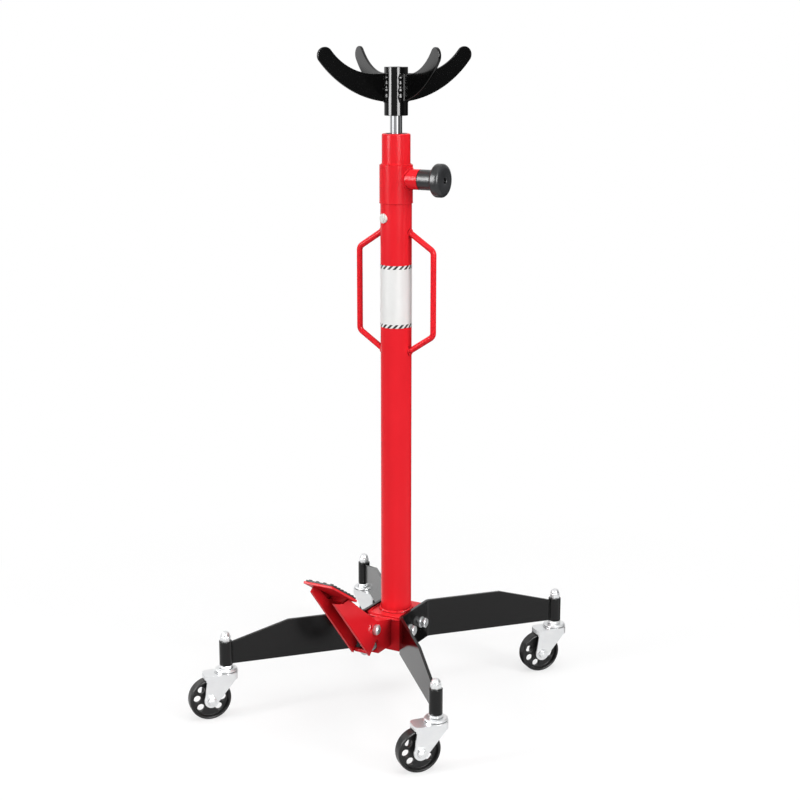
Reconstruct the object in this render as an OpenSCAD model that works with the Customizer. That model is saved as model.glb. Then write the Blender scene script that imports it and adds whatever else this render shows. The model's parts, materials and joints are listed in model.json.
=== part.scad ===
// Upright hydraulic transmission jack on four casters, with a foot pump and a swivelling saddle.
// Millimetres, +Z up, floor at z = 0, column axis on Z, right leg near +X, front leg near -Y.

/* [Column] */
// Outer diameter of the column tube
column_od = 52.5; // [46:0.5:58]
// Wall of the column tube
column_wall = 3.5; // [2.5:0.5:4]
// Length of the column tube above the valve block
column_len = 725; // [600:5:800]

/* [Head] */
// How far the collar stands out past the column all round
collar_step = 1.5; // [1:0.25:4]
// Height of the collar
collar_h = 62; // [56:1:70]
// Outer diameter of the upper sleeve
sleeve_od = 47.5; // [44:0.5:50]
// Height of the upper sleeve
sleeve_h = 50.5; // [40:0.5:60]

/* [Ram] */
// Diameter of the chrome rod
rod_d = 20; // [16:1:22]
// Rod length that shows below the saddle hub
rod_show = 29; // [20:1:45]
// Bore of the inner cylinder
cylinder_id = 30; // [28:1:32]
// Wall of the inner cylinder
cylinder_wall = 4; // [3:0.5:4.5]
// Length of the piston
piston_h = 36; // [28:1:44]

/* [Saddle] */
// Outer diameter of the saddle hub
saddle_od = 39; // [34:0.5:44]
// Height of the saddle hub
saddle_h = 78; // [70:1:90]
// Reach of an arm from the axis to its tip
arm_reach = 142; // [120:0.5:165]
// Height of an arm where it meets the hub
arm_root_h = 46.5; // [38:0.5:50]
// Thickness of an arm plate
arm_t = 4.5; // [4:0.5:8]
// Radius of the round arm tip
arm_tip_r = 13.5; // [11:0.5:17]
// Turn of the saddle about the column
saddle_turn = 12.9; // [-45:0.1:45]

/* [Base] */
// Width of the hub box between the leg plates
hub_w = 67; // [66:1:76]
// Length of the hub box toward the pedal
hub_l = 84; // [78:1:88]
// Height of the hub box
hub_h = 62; // [56:1:70]
// Wall of the hub box
hub_wall = 5; // [4:0.5:6]
// Distance of a caster post from the axis
leg_radius = 307; // [260:1:340]
// Angle a leg leans away from the cross shape
leg_splay = 4; // [0:0.5:6]
// Distance of a leg bend from the middle of the plate
leg_bend = 48.5; // [44:0.5:56]
// Thickness of a leg plate
leg_t = 5; // [4:0.5:6]
// Height of a leg plate at the hub
leg_h = 67; // [63:1:74]
// Height of a leg plate at its post
leg_tip_h = 36; // [30:1:39]
// Length of the level top edge of a leg
leg_level = 137; // [110:1:160]

/* [Casters] */
// Diameter of a wheel
wheel_d = 72; // [64:1:80]
// Width of a wheel tread
wheel_w = 20; // [18:1:24]
// Trail of the axle behind the swivel
caster_trail = 30; // [27:1:33]
// Outer diameter of a post tube
post_od = 22; // [21:0.5:24]
// Length of a post tube
post_h = 42; // [40:1:50]
// Diameter of a caster stem
stem_d = 12; // [10:1:13]
// Turn of the left caster
turn_left = -174.5; // [-180:0.5:180]
// Turn of the front caster
turn_front = -174.5; // [-180:0.5:180]
// Turn of the right caster
turn_right = -174.5; // [-180:0.5:180]
// Turn of the back caster
turn_back = -60; // [-180:0.5:180]

/* [Pump] */
// Width of the pump block between the pedal cheeks
pump_w = 27; // [24:1:30]
// Diameter of the pump plunger
plunger_d = 14; // [12:1:15]
// Plunger travel
plunger_travel = 19; // [15:1:19]
// Wire of the return spring
spring_wire = 1.8; // [1.4:0.1:2]

/* [Pedal] */
// Distance of the pivot from the column axis
pivot_out = 106; // [102:1:112]
// Thickness of the pedal sheet
pedal_t = 4; // [3:0.5:4]
// Width of the tread plate
tread_w = 54; // [46:1:64]
// Length of the tread plate
tread_l = 91; // [84:1:100]
// Thickness of the tread plate
tread_t = 4; // [3:0.5:5]
// Tilt of the tread plate
tread_tilt = 32; // [30:0.5:34]
// Diameter of the pivot bolt
pivot_d = 10; // [8:1:12]

/* [Release valve] */
// Diameter of the valve boss and of the knob neck
boss_od = 33.6; // [28:0.2:36]
// Diameter of the knob head
knob_od = 55; // [46:1:64]
// Distance of the boss face from the column axis
boss_out = 46; // [42:1:52]
// Length of the knob neck
neck_len = 27.7; // [24:0.1:36]
// Thickness of the knob head
knob_t = 18; // [12:1:20]
// Diameter of the valve needle
needle_d = 8; // [6:1:10]

/* [Handles] */
// Diameter of the handle bar
bar_d = 10; // [8:0.5:12]
// Distance of the grip from the column axis
grip_out = 70.5; // [64:0.5:80]
// Length of the straight grip
grip_len = 142; // [120:1:160]
// Height the bar ends lie past the grip
bar_slope = 29; // [20:1:36]

/* [Label and plug] */
// Height of the label
label_h = 105; // [80:1:120]
// Thickness of the label
label_t = 0.3; // [0.2:0.1:0.5]
// Diameter of the filler plug head
plug_od = 16; // [14:1:20]

/* [Fits] */
// Radial clearance of a running fit
run_fit = 0.05; // [0.03:0.01:0.1]
// Gap between moving neighbours
move_gap = 0.3; // [0.3:0.05:0.4]

/* [Hidden] */
$fn = 64;
tiny = 0.01;

axle_z = wheel_d / 2;
wheel_web = 6;
wheel_turns = [-3, 5, 26, 0];
fork_t = 2.5;
fork_top_t = 3;
fork_top_z = wheel_d + 5 + fork_top_t;
fork_in = wheel_w / 2 + 2.8;
fork_out = fork_in + fork_t;
fork_back = caster_trail + 10;
fork_rim = 11;
fork_lip = 7.5;
cap_half = fork_out + 1.2;
thrust_t = 1.6;
race_t = 4.6;
jam_t = 6;
thrust_z = fork_top_z + move_gap;
race_z = thrust_z + thrust_t;
jam_z = race_z + race_t;
post_z = jam_z + jam_t;
post_top = post_z + post_h;
stem_r = stem_d / 2;
fork_front = stem_r + 11.5;
stem_hex = stem_d * 1.35;
acorn_h = stem_d * 0.8;
leg_z = post_z + 0.5;

side_half = hub_w / 2;
end_half = hub_l / 2;
hub_z = leg_z;
hub_top = hub_z + hub_h;
lid_t = hub_wall;
block_z = hub_z + hub_wall;
block_top = hub_top - 15;
block_x = end_half - hub_wall - move_gap;
block_y = side_half - hub_wall - move_gap;

column_r = column_od / 2;
column_in = column_r - column_wall;
column_top = block_top + column_len;
cyl_in = cylinder_id / 2;
cyl_out = min(cyl_in + cylinder_wall, column_in - 1.5);
collar_r = column_r + collar_step;
collar_top = column_top + collar_h;
sleeve_r = sleeve_od / 2;
sleeve_top = collar_top + sleeve_h;
gland_low = 30;
gland_r = cyl_in + 3;
wiper_h = 5.5;
rod_r = rod_d / 2;
saddle_z = sleeve_top + rod_show;
saddle_top = saddle_z + saddle_h;
saddle_r = saddle_od / 2;
socket_depth = 16.5;
socket_web = 6;
rod_top = saddle_top - socket_depth - socket_web - move_gap;
rod_bottom = block_top + move_gap;
arm_z = saddle_z + 21;

valve_z = column_top + 39;
needle_r = needle_d / 2;
plug_z = column_top - 25;
plug_turn = -157;
grip_mid = column_top - 149;
label_z = column_top - 103 - label_h;

leg_mid = side_half + leg_t / 2;
post_x = leg_radius * cos(45 + leg_splay);
post_y = leg_radius * sin(45 + leg_splay);
leg_turn = atan2(post_y - leg_bend, post_x - leg_mid);
leg_len = norm([post_x - leg_mid, post_y - leg_bend]);
bolt_d = 10;
bolt_places = [[-21, 35], [21, 35]];

pivot_z = hub_z + 61;
pivot_r = pivot_d / 2;
cheek_in = pump_w / 2 + 0.5;
cheek_out = cheek_in + pedal_t;
plunger_z = pivot_z - 38;
plunger_r = plunger_d / 2;
striker_r = 4;
striker_out = pivot_out + 10;
button_end = striker_out - striker_r - move_gap;
button_t = 5;
button_r = plunger_r + 3;
pump_face = button_end - button_t - plunger_travel - 1.5;
spring_seat = pump_face - 22;
spring_len = button_end - button_t - spring_seat;
spring_r = plunger_r + 0.8 + spring_wire / 2;
spring_turns = 8;
seal_w = 5;
seal_in = spring_seat - seal_w - 2;
plunger_in = block_x + plunger_travel + 2 * move_gap;
lobe_r = max(15, pivot_r + 8);
tread_x = pivot_out + 74;
tread_z = pivot_z + 74;
tip_x = pivot_out + 17;
tip_z = pivot_z - 42;
under = tan(tread_tilt);
pad_t = 3;
stud_h = 2;

caster_list = [
    [180 + leg_splay, turn_left],
    [-90 - leg_splay, turn_front],
    [leg_splay, turn_right],
    [90 - leg_splay, turn_back]
];

// Place helpers
module at_post(i) {
    rotate([0, 0, caster_list[i][0]])
        translate([leg_radius, 0, 0])
            children();
}

module at_caster(i) {
    rotate([0, 0, caster_list[i][0]])
        translate([leg_radius, 0, 0])
            rotate([0, 0, caster_list[i][1] - caster_list[i][0]])
                children();
}

module on_pedal_side() {
    rotate([0, 0, -135])
        children();
}

module on_knob_side() {
    rotate([0, 0, -45])
        children();
}

// Extrudes a side profile (x, z) between two y values
module side_plate(y0, y1) {
    translate([0, y1, 0])
        rotate([90, 0, 0])
            linear_extrude(height = y1 - y0)
                children();
}

module tube(r_out, r_in, z0, z1) {
    translate([0, 0, z0])
        difference() {
            cylinder(r = r_out, h = z1 - z0);
            translate([0, 0, -1])
                cylinder(r = r_in, h = z1 - z0 + 2);
        }
}

module rod_x(r, x0, x1) {
    translate([x0, 0, 0])
        rotate([0, 90, 0])
            cylinder(r = r, h = x1 - x0);
}

module hex(flats, h) {
    cylinder(d = flats / cos(30), h = h, $fn = 6);
}

// Base
module bolt_holes(r, x0, x1) {
    for (a = [-45, 135])
        rotate([0, 0, a])
            for (p = bolt_places)
                translate([0, p[0], leg_z + p[1]])
                    rod_x(r, x0, x1);
}

module hub_box() {
    color("#c8202c")
        difference() {
            rotate([0, 0, 45])
                translate([-end_half, -side_half, hub_z])
                    cube([hub_l, hub_w, hub_h - lid_t]);
            rotate([0, 0, 45])
                translate([-end_half + hub_wall, -side_half + hub_wall, block_z])
                    cube([hub_l - 2 * hub_wall, hub_w - 2 * hub_wall, hub_h]);
            bolt_holes(bolt_d / 2 + run_fit, side_half - hub_wall - 1, side_half + 1);
            on_pedal_side()
                translate([0, 0, plunger_z])
                    rod_x(plunger_r + 4 + run_fit, end_half - hub_wall - 1, end_half + 1);
        }
}

module hub_lid() {
    color("#c8202c")
        difference() {
            rotate([0, 0, 45])
                translate([-end_half, -side_half, hub_top - lid_t])
                    cube([hub_l, hub_w, lid_t]);
            translate([0, 0, hub_top - lid_t - 1])
                cylinder(r = column_r + run_fit, h = lid_t + 2);
        }
}

module valve_block() {
    color("#8b8f93")
        difference() {
            rotate([0, 0, 45])
                translate([-block_x, -block_y, block_z])
                    cube([2 * block_x, 2 * block_y, block_top - block_z]);
            bolt_holes(bolt_d / 2 + run_fit, block_y - 16, block_y + 1);
            on_pedal_side()
                translate([0, 0, plunger_z])
                    rod_x(plunger_r - 2, 0, block_x + 1);
            translate([0, 0, plunger_z])
                cylinder(r = 4, h = block_top - plunger_z + 1);
        }
}

module leg_strip() {
    near = leg_bend - leg_t / 2 * tan(45 - leg_turn / 2);
    far = leg_bend + leg_t / 2 * tan(45 - leg_turn / 2);
    nx = leg_t / 2 * sin(leg_turn);
    ny = leg_t / 2 * cos(leg_turn);
    polygon([
        [post_x - nx, post_y + ny],
        [side_half, far],
        [side_half, -far],
        [post_x - nx, -post_y - ny],
        [post_x + nx, -post_y + ny],
        [side_half + leg_t, -near],
        [side_half + leg_t, near],
        [post_x + nx, post_y - ny]
    ]);
}

module leg_slope_cut(side) {
    drop = (leg_h - leg_tip_h) / (leg_len - leg_level);
    level_z = leg_z + leg_h;
    over = 2 * leg_t;
    translate([leg_mid, side * leg_bend, 0])
        rotate([0, 0, side * leg_turn])
            side_plate(-over, over)
                polygon([
                    [leg_level - over, level_z + over * drop],
                    [leg_len + over, leg_z + leg_tip_h - over * drop],
                    [leg_len + over, level_z + 2 * over],
                    [leg_level - over, level_z + 2 * over]
                ]);
}

module leg_pair() {
    difference() {
        translate([0, 0, leg_z])
            linear_extrude(height = leg_h)
                leg_strip();
        leg_slope_cut(1);
        leg_slope_cut(-1);
        for (p = bolt_places)
            translate([0, p[0], leg_z + p[1]])
                rod_x(bolt_d / 2 + run_fit, side_half - 1, side_half + leg_t + 1);
        for (side = [-1, 1])
            translate([post_x, side * post_y, leg_z - leg_t])
                cylinder(r = post_od / 2, h = leg_h + 2 * leg_t);
    }
}

module leg_pair_front() {
    color("#161719")
        rotate([0, 0, -45])
            leg_pair();
}

module leg_pair_back() {
    color("#161719")
        rotate([0, 0, 135])
            leg_pair();
}

module at_leg_bolts() {
    for (a = [-45, 135])
        rotate([0, 0, a])
            for (p = bolt_places)
                translate([side_half + leg_t, p[0], leg_z + p[1]])
                    rotate([0, 90, 0])
                        children();
}

module leg_washers() {
    color("#b9bcc0")
        at_leg_bolts()
            tube(bolt_d, bolt_d / 2 + run_fit, 0, 2);
}

module spring_washers() {
    color("#a3a7ab")
        at_leg_bolts()
            difference() {
                tube(bolt_d * 0.82, bolt_d / 2 + run_fit, 2, 4.5);
                rotate([0, 0, 50])
                    translate([0, -0.6, 1])
                        cube([bolt_d, 1.2, 5]);
            }
}

module leg_bolts() {
    color("#b0b4b8")
        at_leg_bolts() {
            translate([0, 0, 4.5])
                hex(bolt_d * 1.6, 6.4);
            translate([0, 0, -leg_t - hub_wall - 14])
                cylinder(d = bolt_d, h = leg_t + hub_wall + 14 + 4.5 + tiny);
        }
}

// Caster posts and fixed swivel pieces
module caster_posts() {
    color("#161719")
        for (i = [0:3])
            at_post(i)
                tube(post_od / 2, stem_r + run_fit, post_z, post_top);
}

module caster_stems() {
    color("#b0b4b8")
        for (i = [0:3])
            at_post(i) {
                translate([0, 0, fork_top_z - fork_top_t - move_gap - 5.7])
                    cylinder(r = stem_r + 4, h = 5.7);
                translate([0, 0, fork_top_z - fork_top_t - move_gap - 1])
                    cylinder(r = stem_r, h = post_top + acorn_h - fork_top_z + fork_top_t + 1);
            }
}

module acorn_nuts() {
    color("#c9ccd0")
        for (i = [0:3])
            at_post(i)
                translate([0, 0, post_top])
                    difference() {
                        union() {
                            hex(stem_hex, acorn_h);
                            translate([0, 0, acorn_h])
                                intersection() {
                                    sphere(d = stem_hex * 0.94);
                                    cylinder(d = stem_hex, h = stem_hex);
                                }
                        }
                        translate([0, 0, -1])
                            cylinder(r = stem_r + run_fit, h = acorn_h + 1 + run_fit);
                    }
}

module jam_nuts() {
    color("#c9ccd0")
        for (i = [0:3])
            at_post(i)
                translate([0, 0, jam_z])
                    difference() {
                        hex(stem_d * 1.75, jam_t);
                        translate([0, 0, -1])
                            cylinder(r = stem_r + run_fit, h = jam_t + 2);
                    }
}

module swivel_races() {
    color("#c4c7cb")
        for (i = [0:3])
            at_post(i)
                tube(stem_r + 13.2, stem_r + run_fit, race_z, race_z + race_t);
}

module thrust_washers() {
    color("#8d9195")
        for (i = [0:3])
            at_post(i)
                tube(stem_r + 14.4, stem_r + run_fit, thrust_z, thrust_z + thrust_t);
}

// Swivelling casters
module fork_profile() {
    difference() {
        union() {
            polygon([
                [-fork_front + 4.5, fork_top_z - fork_rim],
                [-fork_front + 4.5, fork_top_z - 1],
                [caster_trail + 6, fork_top_z - 1],
                [caster_trail + 11.5, axle_z + 3],
                [caster_trail - 10.5, axle_z - 5]
            ]);
            translate([caster_trail, axle_z])
                circle(r = 12.5);
        }
        translate([caster_trail, axle_z])
            circle(r = 4 + run_fit);
    }
}

module fork_plan(inset) {
    front = -fork_front + 8;
    end = fork_back - 9;
    translate([front, -cap_half + inset])
        square([end - front, 2 * (cap_half - inset)]);
    translate([front - 8 + inset, -cap_half + 8])
        square([9 - inset, 2 * cap_half - 16]);
    translate([end - 1, -cap_half + 9])
        square([10 - inset, 2 * cap_half - 18]);
    for (side = [-1, 1]) {
        translate([front, side * (cap_half - 8)])
            circle(r = 8 - inset);
        translate([end, side * (cap_half - 9)])
            circle(r = 9 - inset);
    }
}

module fork(i) {
    color("#c9ccd0")
        at_caster(i)
            difference() {
                union() {
                    difference() {
                        translate([0, 0, fork_top_z - fork_rim])
                            linear_extrude(height = fork_rim)
                                fork_plan(0);
                        translate([0, 0, fork_top_z - fork_rim - 1])
                            linear_extrude(height = fork_rim - fork_top_t + 1)
                                fork_plan(fork_t);
                        translate([caster_trail - 18, -fork_in, fork_top_z - fork_rim - 1])
                            cube([fork_back, 2 * fork_in, fork_rim - fork_lip + 1]);
                    }
                    side_plate(fork_in, fork_out)
                        fork_profile();
                    side_plate(-fork_out, -fork_in)
                        fork_profile();
                }
                translate([0, 0, fork_top_z - fork_top_t - 1])
                    cylinder(r = stem_r + run_fit, h = fork_top_t + 2);
            }
}

module axle(i) {
    outer = fork_out;
    color("#b0b4b8")
        at_caster(i)
            translate([caster_trail, 0, axle_z])
                rotate([-90, 0, 0]) {
                    translate([0, 0, -outer - 5])
                        hex(13, 5);
                    translate([0, 0, outer])
                        hex(13, 6.5);
                    translate([0, 0, -outer - 1])
                        cylinder(r = 4, h = 2 * outer + 9);
                }
}

module wheel(i) {
    wr = wheel_d / 2;
    hw = wheel_w / 2;
    color("#1b1c1e")
        at_caster(i)
            translate([caster_trail, 0, axle_z])
                rotate([-90, 0, 0])
                    difference() {
                        rotate_extrude($fn = 96)
                            polygon([
                                [4 + run_fit, -hw - 2.2],
                                [9, -hw - 2.2],
                                [11, -wheel_web / 2],
                                [wr * 0.84, -wheel_web / 2],
                                [wr * 0.87, -hw + 0.5],
                                [wr - 2.5, -hw],
                                [wr - 0.6, -hw + 1.2],
                                [wr, -hw + 3.5],
                                [wr, hw - 3.5],
                                [wr - 0.6, hw - 1.2],
                                [wr - 2.5, hw],
                                [wr * 0.87, hw - 0.5],
                                [wr * 0.84, wheel_web / 2],
                                [11, wheel_web / 2],
                                [9, hw + 2.2],
                                [4 + run_fit, hw + 2.2]
                            ]);
                        for (half = [0, 180])
                            for (k = [-1:1])
                                rotate([0, 0, wheel_turns[i] + half + 45 * k])
                                    translate([wr * 0.61, 0, -wheel_web])
                                        cylinder(r = wr * 0.17, h = 2 * wheel_web);
                    }
}

module fork_left() {
    fork(0);
}

module fork_front() {
    fork(1);
}

module fork_right() {
    fork(2);
}

module fork_back() {
    fork(3);
}

module axle_left() {
    axle(0);
}

module axle_front() {
    axle(1);
}

module axle_right() {
    axle(2);
}

module axle_back() {
    axle(3);
}

module wheel_left() {
    wheel(0);
}

module wheel_front() {
    wheel(1);
}

module wheel_right() {
    wheel(2);
}

module wheel_back() {
    wheel(3);
}

// Column and head
module column_tube() {
    color("#c8202c")
        difference() {
            tube(column_r, column_in, block_top, column_top);
            translate([0, 0, plug_z])
                rotate([0, 0, plug_turn])
                    rod_x(plug_od / 3 + run_fit, column_in - 2, column_r + 2);
        }
}

module cylinder_tube() {
    color("#9a9ea2")
        tube(cyl_out, cyl_in, block_top, collar_top);
}

module collar() {
    color("#c8202c")
        difference() {
            union() {
                tube(collar_r, cyl_out + run_fit, column_top, collar_top);
                tube(column_in - run_fit, cyl_out + run_fit, column_top - 8, column_top + 1);
            }
            on_knob_side()
                translate([0, 0, valve_z])
                    rod_x(needle_r + run_fit, 0, collar_r + 1);
        }
}

module valve_boss() {
    color("#c8202c")
        difference() {
            on_knob_side()
                translate([0, 0, valve_z])
                    difference() {
                        rod_x(boss_od / 2, collar_r - 8, boss_out);
                        rod_x(needle_r + run_fit, 0, boss_out + 1);
                    }
            translate([0, 0, column_top - 2])
                cylinder(r = collar_r, h = collar_h + 4);
        }
}

module upper_sleeve() {
    color("#c8202c")
        translate([0, 0, collar_top])
            rotate_extrude()
                polygon([
                    [gland_r + run_fit, 0],
                    [sleeve_r, 0],
                    [sleeve_r, sleeve_h - 1.5],
                    [sleeve_r - 1.5, sleeve_h],
                    [gland_r + run_fit, sleeve_h]
                ]);
}

module gland() {
    color("#b99a52")
        difference() {
            union() {
                tube(cyl_in - run_fit, rod_r + run_fit, collar_top - gland_low, collar_top + 1);
                tube(gland_r, rod_r + run_fit, collar_top, sleeve_top - wiper_h);
            }
            tube(rod_r + 3.2, rod_r, collar_top - 20, collar_top - 15);
        }
}

module rod_seal() {
    color("#2a2a2c")
        tube(rod_r + 3.15, rod_r + run_fit, collar_top - 20 + run_fit, collar_top - 15 - run_fit);
}

module wiper() {
    color("#222325")
        tube(gland_r, rod_r + run_fit, sleeve_top - wiper_h, sleeve_top - 0.5);
}

module filler_plug() {
    color("#e6e2d6")
        translate([0, 0, plug_z])
            rotate([0, 0, plug_turn])
                difference() {
                    union() {
                        rod_x(plug_od / 3, column_in - 1.5, column_r + 1);
                        rod_x(plug_od / 2, column_r - 4, column_r + 2.4);
                        rod_x(plug_od / 2 - 3, column_r, column_r + 3.6);
                    }
                    difference() {
                        translate([0, 0, -plug_od])
                            cylinder(r = column_r, h = 2 * plug_od);
                        rod_x(plug_od / 3, 0, column_r + 3);
                    }
                }
}

module label_band() {
    color("#efefee")
        rotate([0, 0, -105.7 - 125])
            translate([0, 0, label_z])
                rotate_extrude(angle = 250, $fn = 96)
                    translate([column_r + run_fit, 0])
                        square([label_t, label_h]);
}

module handle() {
    z1 = grip_mid + grip_len / 2;
    z0 = grip_mid - grip_len / 2;
    lean = atan2(bar_slope, grip_out - column_r);
    bar_len = (grip_out - column_r + 6) / cos(lean);
    difference() {
        union() {
            translate([grip_out, 0, z0])
                cylinder(d = bar_d, h = grip_len);
            translate([grip_out, 0, z1]) {
                sphere(d = bar_d);
                rotate([0, lean - 90, 0])
                    cylinder(d = bar_d, h = bar_len);
            }
            translate([grip_out, 0, z0]) {
                sphere(d = bar_d);
                rotate([0, -lean - 90, 0])
                    cylinder(d = bar_d, h = bar_len);
            }
        }
        translate([0, 0, z0 - grip_len])
            cylinder(r = column_r, h = 3 * grip_len);
    }
}

module handle_front() {
    color("#c8202c")
        on_knob_side()
            handle();
}

module handle_back() {
    color("#c8202c")
        rotate([0, 0, 135])
            handle();
}

// Ram and saddle
module ram_rod() {
    color("#d5d8db")
        translate([0, 0, rod_bottom])
            rotate_extrude()
                polygon([
                    [0, 0],
                    [rod_r, 0],
                    [rod_r, rod_top - rod_bottom - 1.5],
                    [rod_r - 1.5, rod_top - rod_bottom],
                    [0, rod_top - rod_bottom]
                ]);
}

module piston() {
    color("#8b8f93")
        difference() {
            tube(cyl_in - run_fit, rod_r, rod_bottom, rod_bottom + piston_h);
            tube(cyl_in + 1, cyl_in - 2.2, rod_bottom + 14, rod_bottom + 20);
        }
}

module piston_seal() {
    color("#2a2a2c")
        tube(cyl_in - run_fit, cyl_in - 2.15, rod_bottom + 14.05, rod_bottom + 19.95);
}

module saddle_hub() {
    color("#161719")
        difference() {
            translate([0, 0, saddle_z])
                cylinder(r = saddle_r, h = saddle_h);
            translate([0, 0, saddle_z - 1])
                cylinder(r = rod_r + run_fit, h = rod_top + move_gap - saddle_z + 1);
            translate([0, 0, saddle_top - socket_depth])
                cylinder(r = rod_r, h = socket_depth + 1);
        }
}

// Side shape of one saddle arm, measured from the axis and from the underside at the hub
module arm_profile() {
    tip_x = arm_reach - arm_tip_r;
    low_r = arm_reach * 1.25;
    tip_z = low_r - sqrt(pow(low_r - arm_tip_r, 2) - pow(tip_x, 2));
    cut_x = arm_reach * 0.287;
    span = tip_x - cut_x;
    lift = tip_z - arm_root_h;
    cut_r = (span * span + lift * lift - arm_tip_r * arm_tip_r) / (2 * (arm_tip_r + lift));
    difference() {
        intersection() {
            translate([0, low_r])
                circle(r = low_r, $fn = 128);
            polygon([
                [0, low_r],
                [0, -low_r],
                [3 * tip_x, low_r - 3 * (low_r - tip_z)]
            ]);
        }
        translate([-1, arm_root_h])
            square([cut_x + 1, arm_reach]);
        translate([cut_x, arm_root_h + cut_r])
            circle(r = cut_r, $fn = 128);
    }
    translate([tip_x, tip_z])
        circle(r = arm_tip_r);
}

module saddle_arms() {
    difference() {
        for (a = [0, 180])
            rotate([0, 0, a])
                translate([0, 0, arm_z])
                    side_plate(-arm_t / 2, arm_t / 2)
                        arm_profile();
        translate([0, 0, saddle_z - 1])
            cylinder(r = saddle_r, h = saddle_h + 60);
    }
}

module saddle_arms_wide() {
    color("#161719")
        rotate([0, 0, saddle_turn])
            saddle_arms();
}

module saddle_arms_deep() {
    color("#161719")
        rotate([0, 0, saddle_turn + 90])
            saddle_arms();
}

// Release valve
module release_knob() {
    x0 = boss_out + move_gap;
    x1 = x0 + neck_len;
    x2 = x1 + knob_t;
    kr = knob_od / 2;
    color("#3a3d41")
        on_knob_side()
            translate([0, 0, valve_z])
                rotate([0, 90, 0])
                    rotate_extrude($fn = 96)
                        polygon([
                            [needle_r + run_fit, x0],
                            [boss_od / 2, x0],
                            [boss_od / 2, x1 - 3],
                            [boss_od / 2 + 3, x1],
                            [kr - 2.5, x1],
                            [kr, x1 + 2.5],
                            [kr, x2 - 5],
                            [kr - 2, x2 - 2],
                            [kr - 6, x2],
                            [4.5, x2],
                            [4.5, x2 - 6],
                            [needle_r + run_fit, x2 - 6 - needle_r]
                        ]);
}

module valve_needle() {
    x0 = cyl_out + 1;
    x1 = boss_out + 14;
    color("#b0b4b8")
        on_knob_side()
            translate([0, 0, valve_z])
                rotate([0, 90, 0])
                    rotate_extrude()
                        polygon([
                            [0, x0],
                            [needle_r * 0.4, x0],
                            [needle_r, x0 + 4],
                            [needle_r, x1],
                            [0, x1]
                        ]);
}

// Pump
module pump_block() {
    color("#c8202c")
        on_pedal_side() {
            difference() {
                side_plate(-pump_w / 2, pump_w / 2)
                    difference() {
                        union() {
                            translate([end_half, plunger_z - 13.5])
                                square([pump_face - end_half, 32.5]);
                            polygon([
                                [end_half, plunger_z + 10],
                                [pump_face, plunger_z + 10],
                                [pivot_out - 2, pivot_z - lobe_r + 2],
                                [pivot_out - 8, pivot_z + lobe_r - 5],
                                [end_half, pivot_z - 4]
                            ]);
                            translate([pivot_out, pivot_z])
                                circle(r = lobe_r - 2);
                        }
                        translate([pivot_out, pivot_z])
                            circle(r = pivot_r + run_fit);
                    }
                translate([0, 0, plunger_z]) {
                    rod_x(plunger_r + run_fit, end_half - 1, pump_face + 1);
                    rod_x(spring_r + spring_wire / 2 + 1, spring_seat, pump_face + 1);
                    rod_x(plunger_r + 3.2, seal_in, seal_in + seal_w);
                }
            }
            translate([0, 0, plunger_z])
                difference() {
                    rod_x(plunger_r + 4, block_x + 0.1, end_half + tiny);
                    rod_x(plunger_r + run_fit, 0, end_half + 1);
                }
        }
}

module plunger_seal() {
    color("#2a2a2c")
        on_pedal_side()
            translate([0, 0, plunger_z])
                difference() {
                    rod_x(plunger_r + 3.15, seal_in + run_fit, seal_in + seal_w - run_fit);
                    rod_x(plunger_r + run_fit, 0, spring_seat);
                }
}

module pump_plunger() {
    color("#c4c7cb")
        on_pedal_side()
            translate([0, 0, plunger_z]) {
                rod_x(plunger_r, plunger_in, button_end - button_t + tiny);
                rod_x(button_r, button_end - button_t, button_end);
            }
}

// Points of one helical wire: rings of six points, eight rings to a turn
function coil_points(r, wire, len, turns) = [
    for (i = [0:turns * 8])
        for (j = [0:5])
            let (a = 45 * i, b = 60 * j, q = r + wire / 2 * cos(b))
                [
                    q * cos(a),
                    q * sin(a),
                    wire / 2 + (len - wire) / (turns * 8) * i + wire / 2 * sin(b)
                ]
];

// Least distance between points of one turn and the next
function coil_gap(pts) = min([
    for (i = [0:len(pts) / 6 - 9])
        for (n = [i + 7:min(i + 9, len(pts) / 6 - 1)])
            for (j = [0:5])
                for (k = [0:5])
                    norm(pts[6 * i + j] - pts[6 * n + k])
]);

// One helical wire, closed at both ends
module coil(pts) {
    last = len(pts) - 6;
    skin = [
        for (p = [0:last - 1])
            let (n = p % 6 == 5 ? p - 5 : p + 1)
                each [[p, p + 6, n], [n, p + 6, n + 6]]
    ];
    ends = [
        for (j = [1:4])
            each [[0, j, j + 1], [last, last + j + 1, last + j]]
    ];
    polyhedron(points = pts, faces = concat(skin, ends));
}

module pump_spring() {
    spring_points = coil_points(spring_r, spring_wire, spring_len, spring_turns);
    echo(spring_least_gap = coil_gap(spring_points));
    color("#7d8185")
        on_pedal_side()
            translate([spring_seat, 0, plunger_z])
                rotate([0, 90, 0])
                    coil(spring_points);
}

// Pedal
module near_cheek() {
    difference() {
        union() {
            polygon([
                [tip_x, tip_z],
                [tip_x + 113, tip_z + 130],
                [tip_x + 98, tip_z + 124.5],
                [tip_x + 84, tip_z + 121],
                [tread_x + 10, tread_z + under * 10],
                [tread_x + 4, tread_z + under * 4],
                [tip_x + 29, tip_z + 94],
                [pivot_out - 6, pivot_z + lobe_r - 1.5],
                [pivot_out - 10, pivot_z - 17],
                [tip_x - 15, tip_z + 14]
            ]);
            translate([pivot_out, pivot_z])
                circle(r = lobe_r);
        }
        translate([pivot_out, pivot_z])
            circle(r = pivot_r);
        translate([pivot_out + 1.05 * pivot_d, pivot_z + 4])
            square([3, 8]);
    }
}

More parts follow.
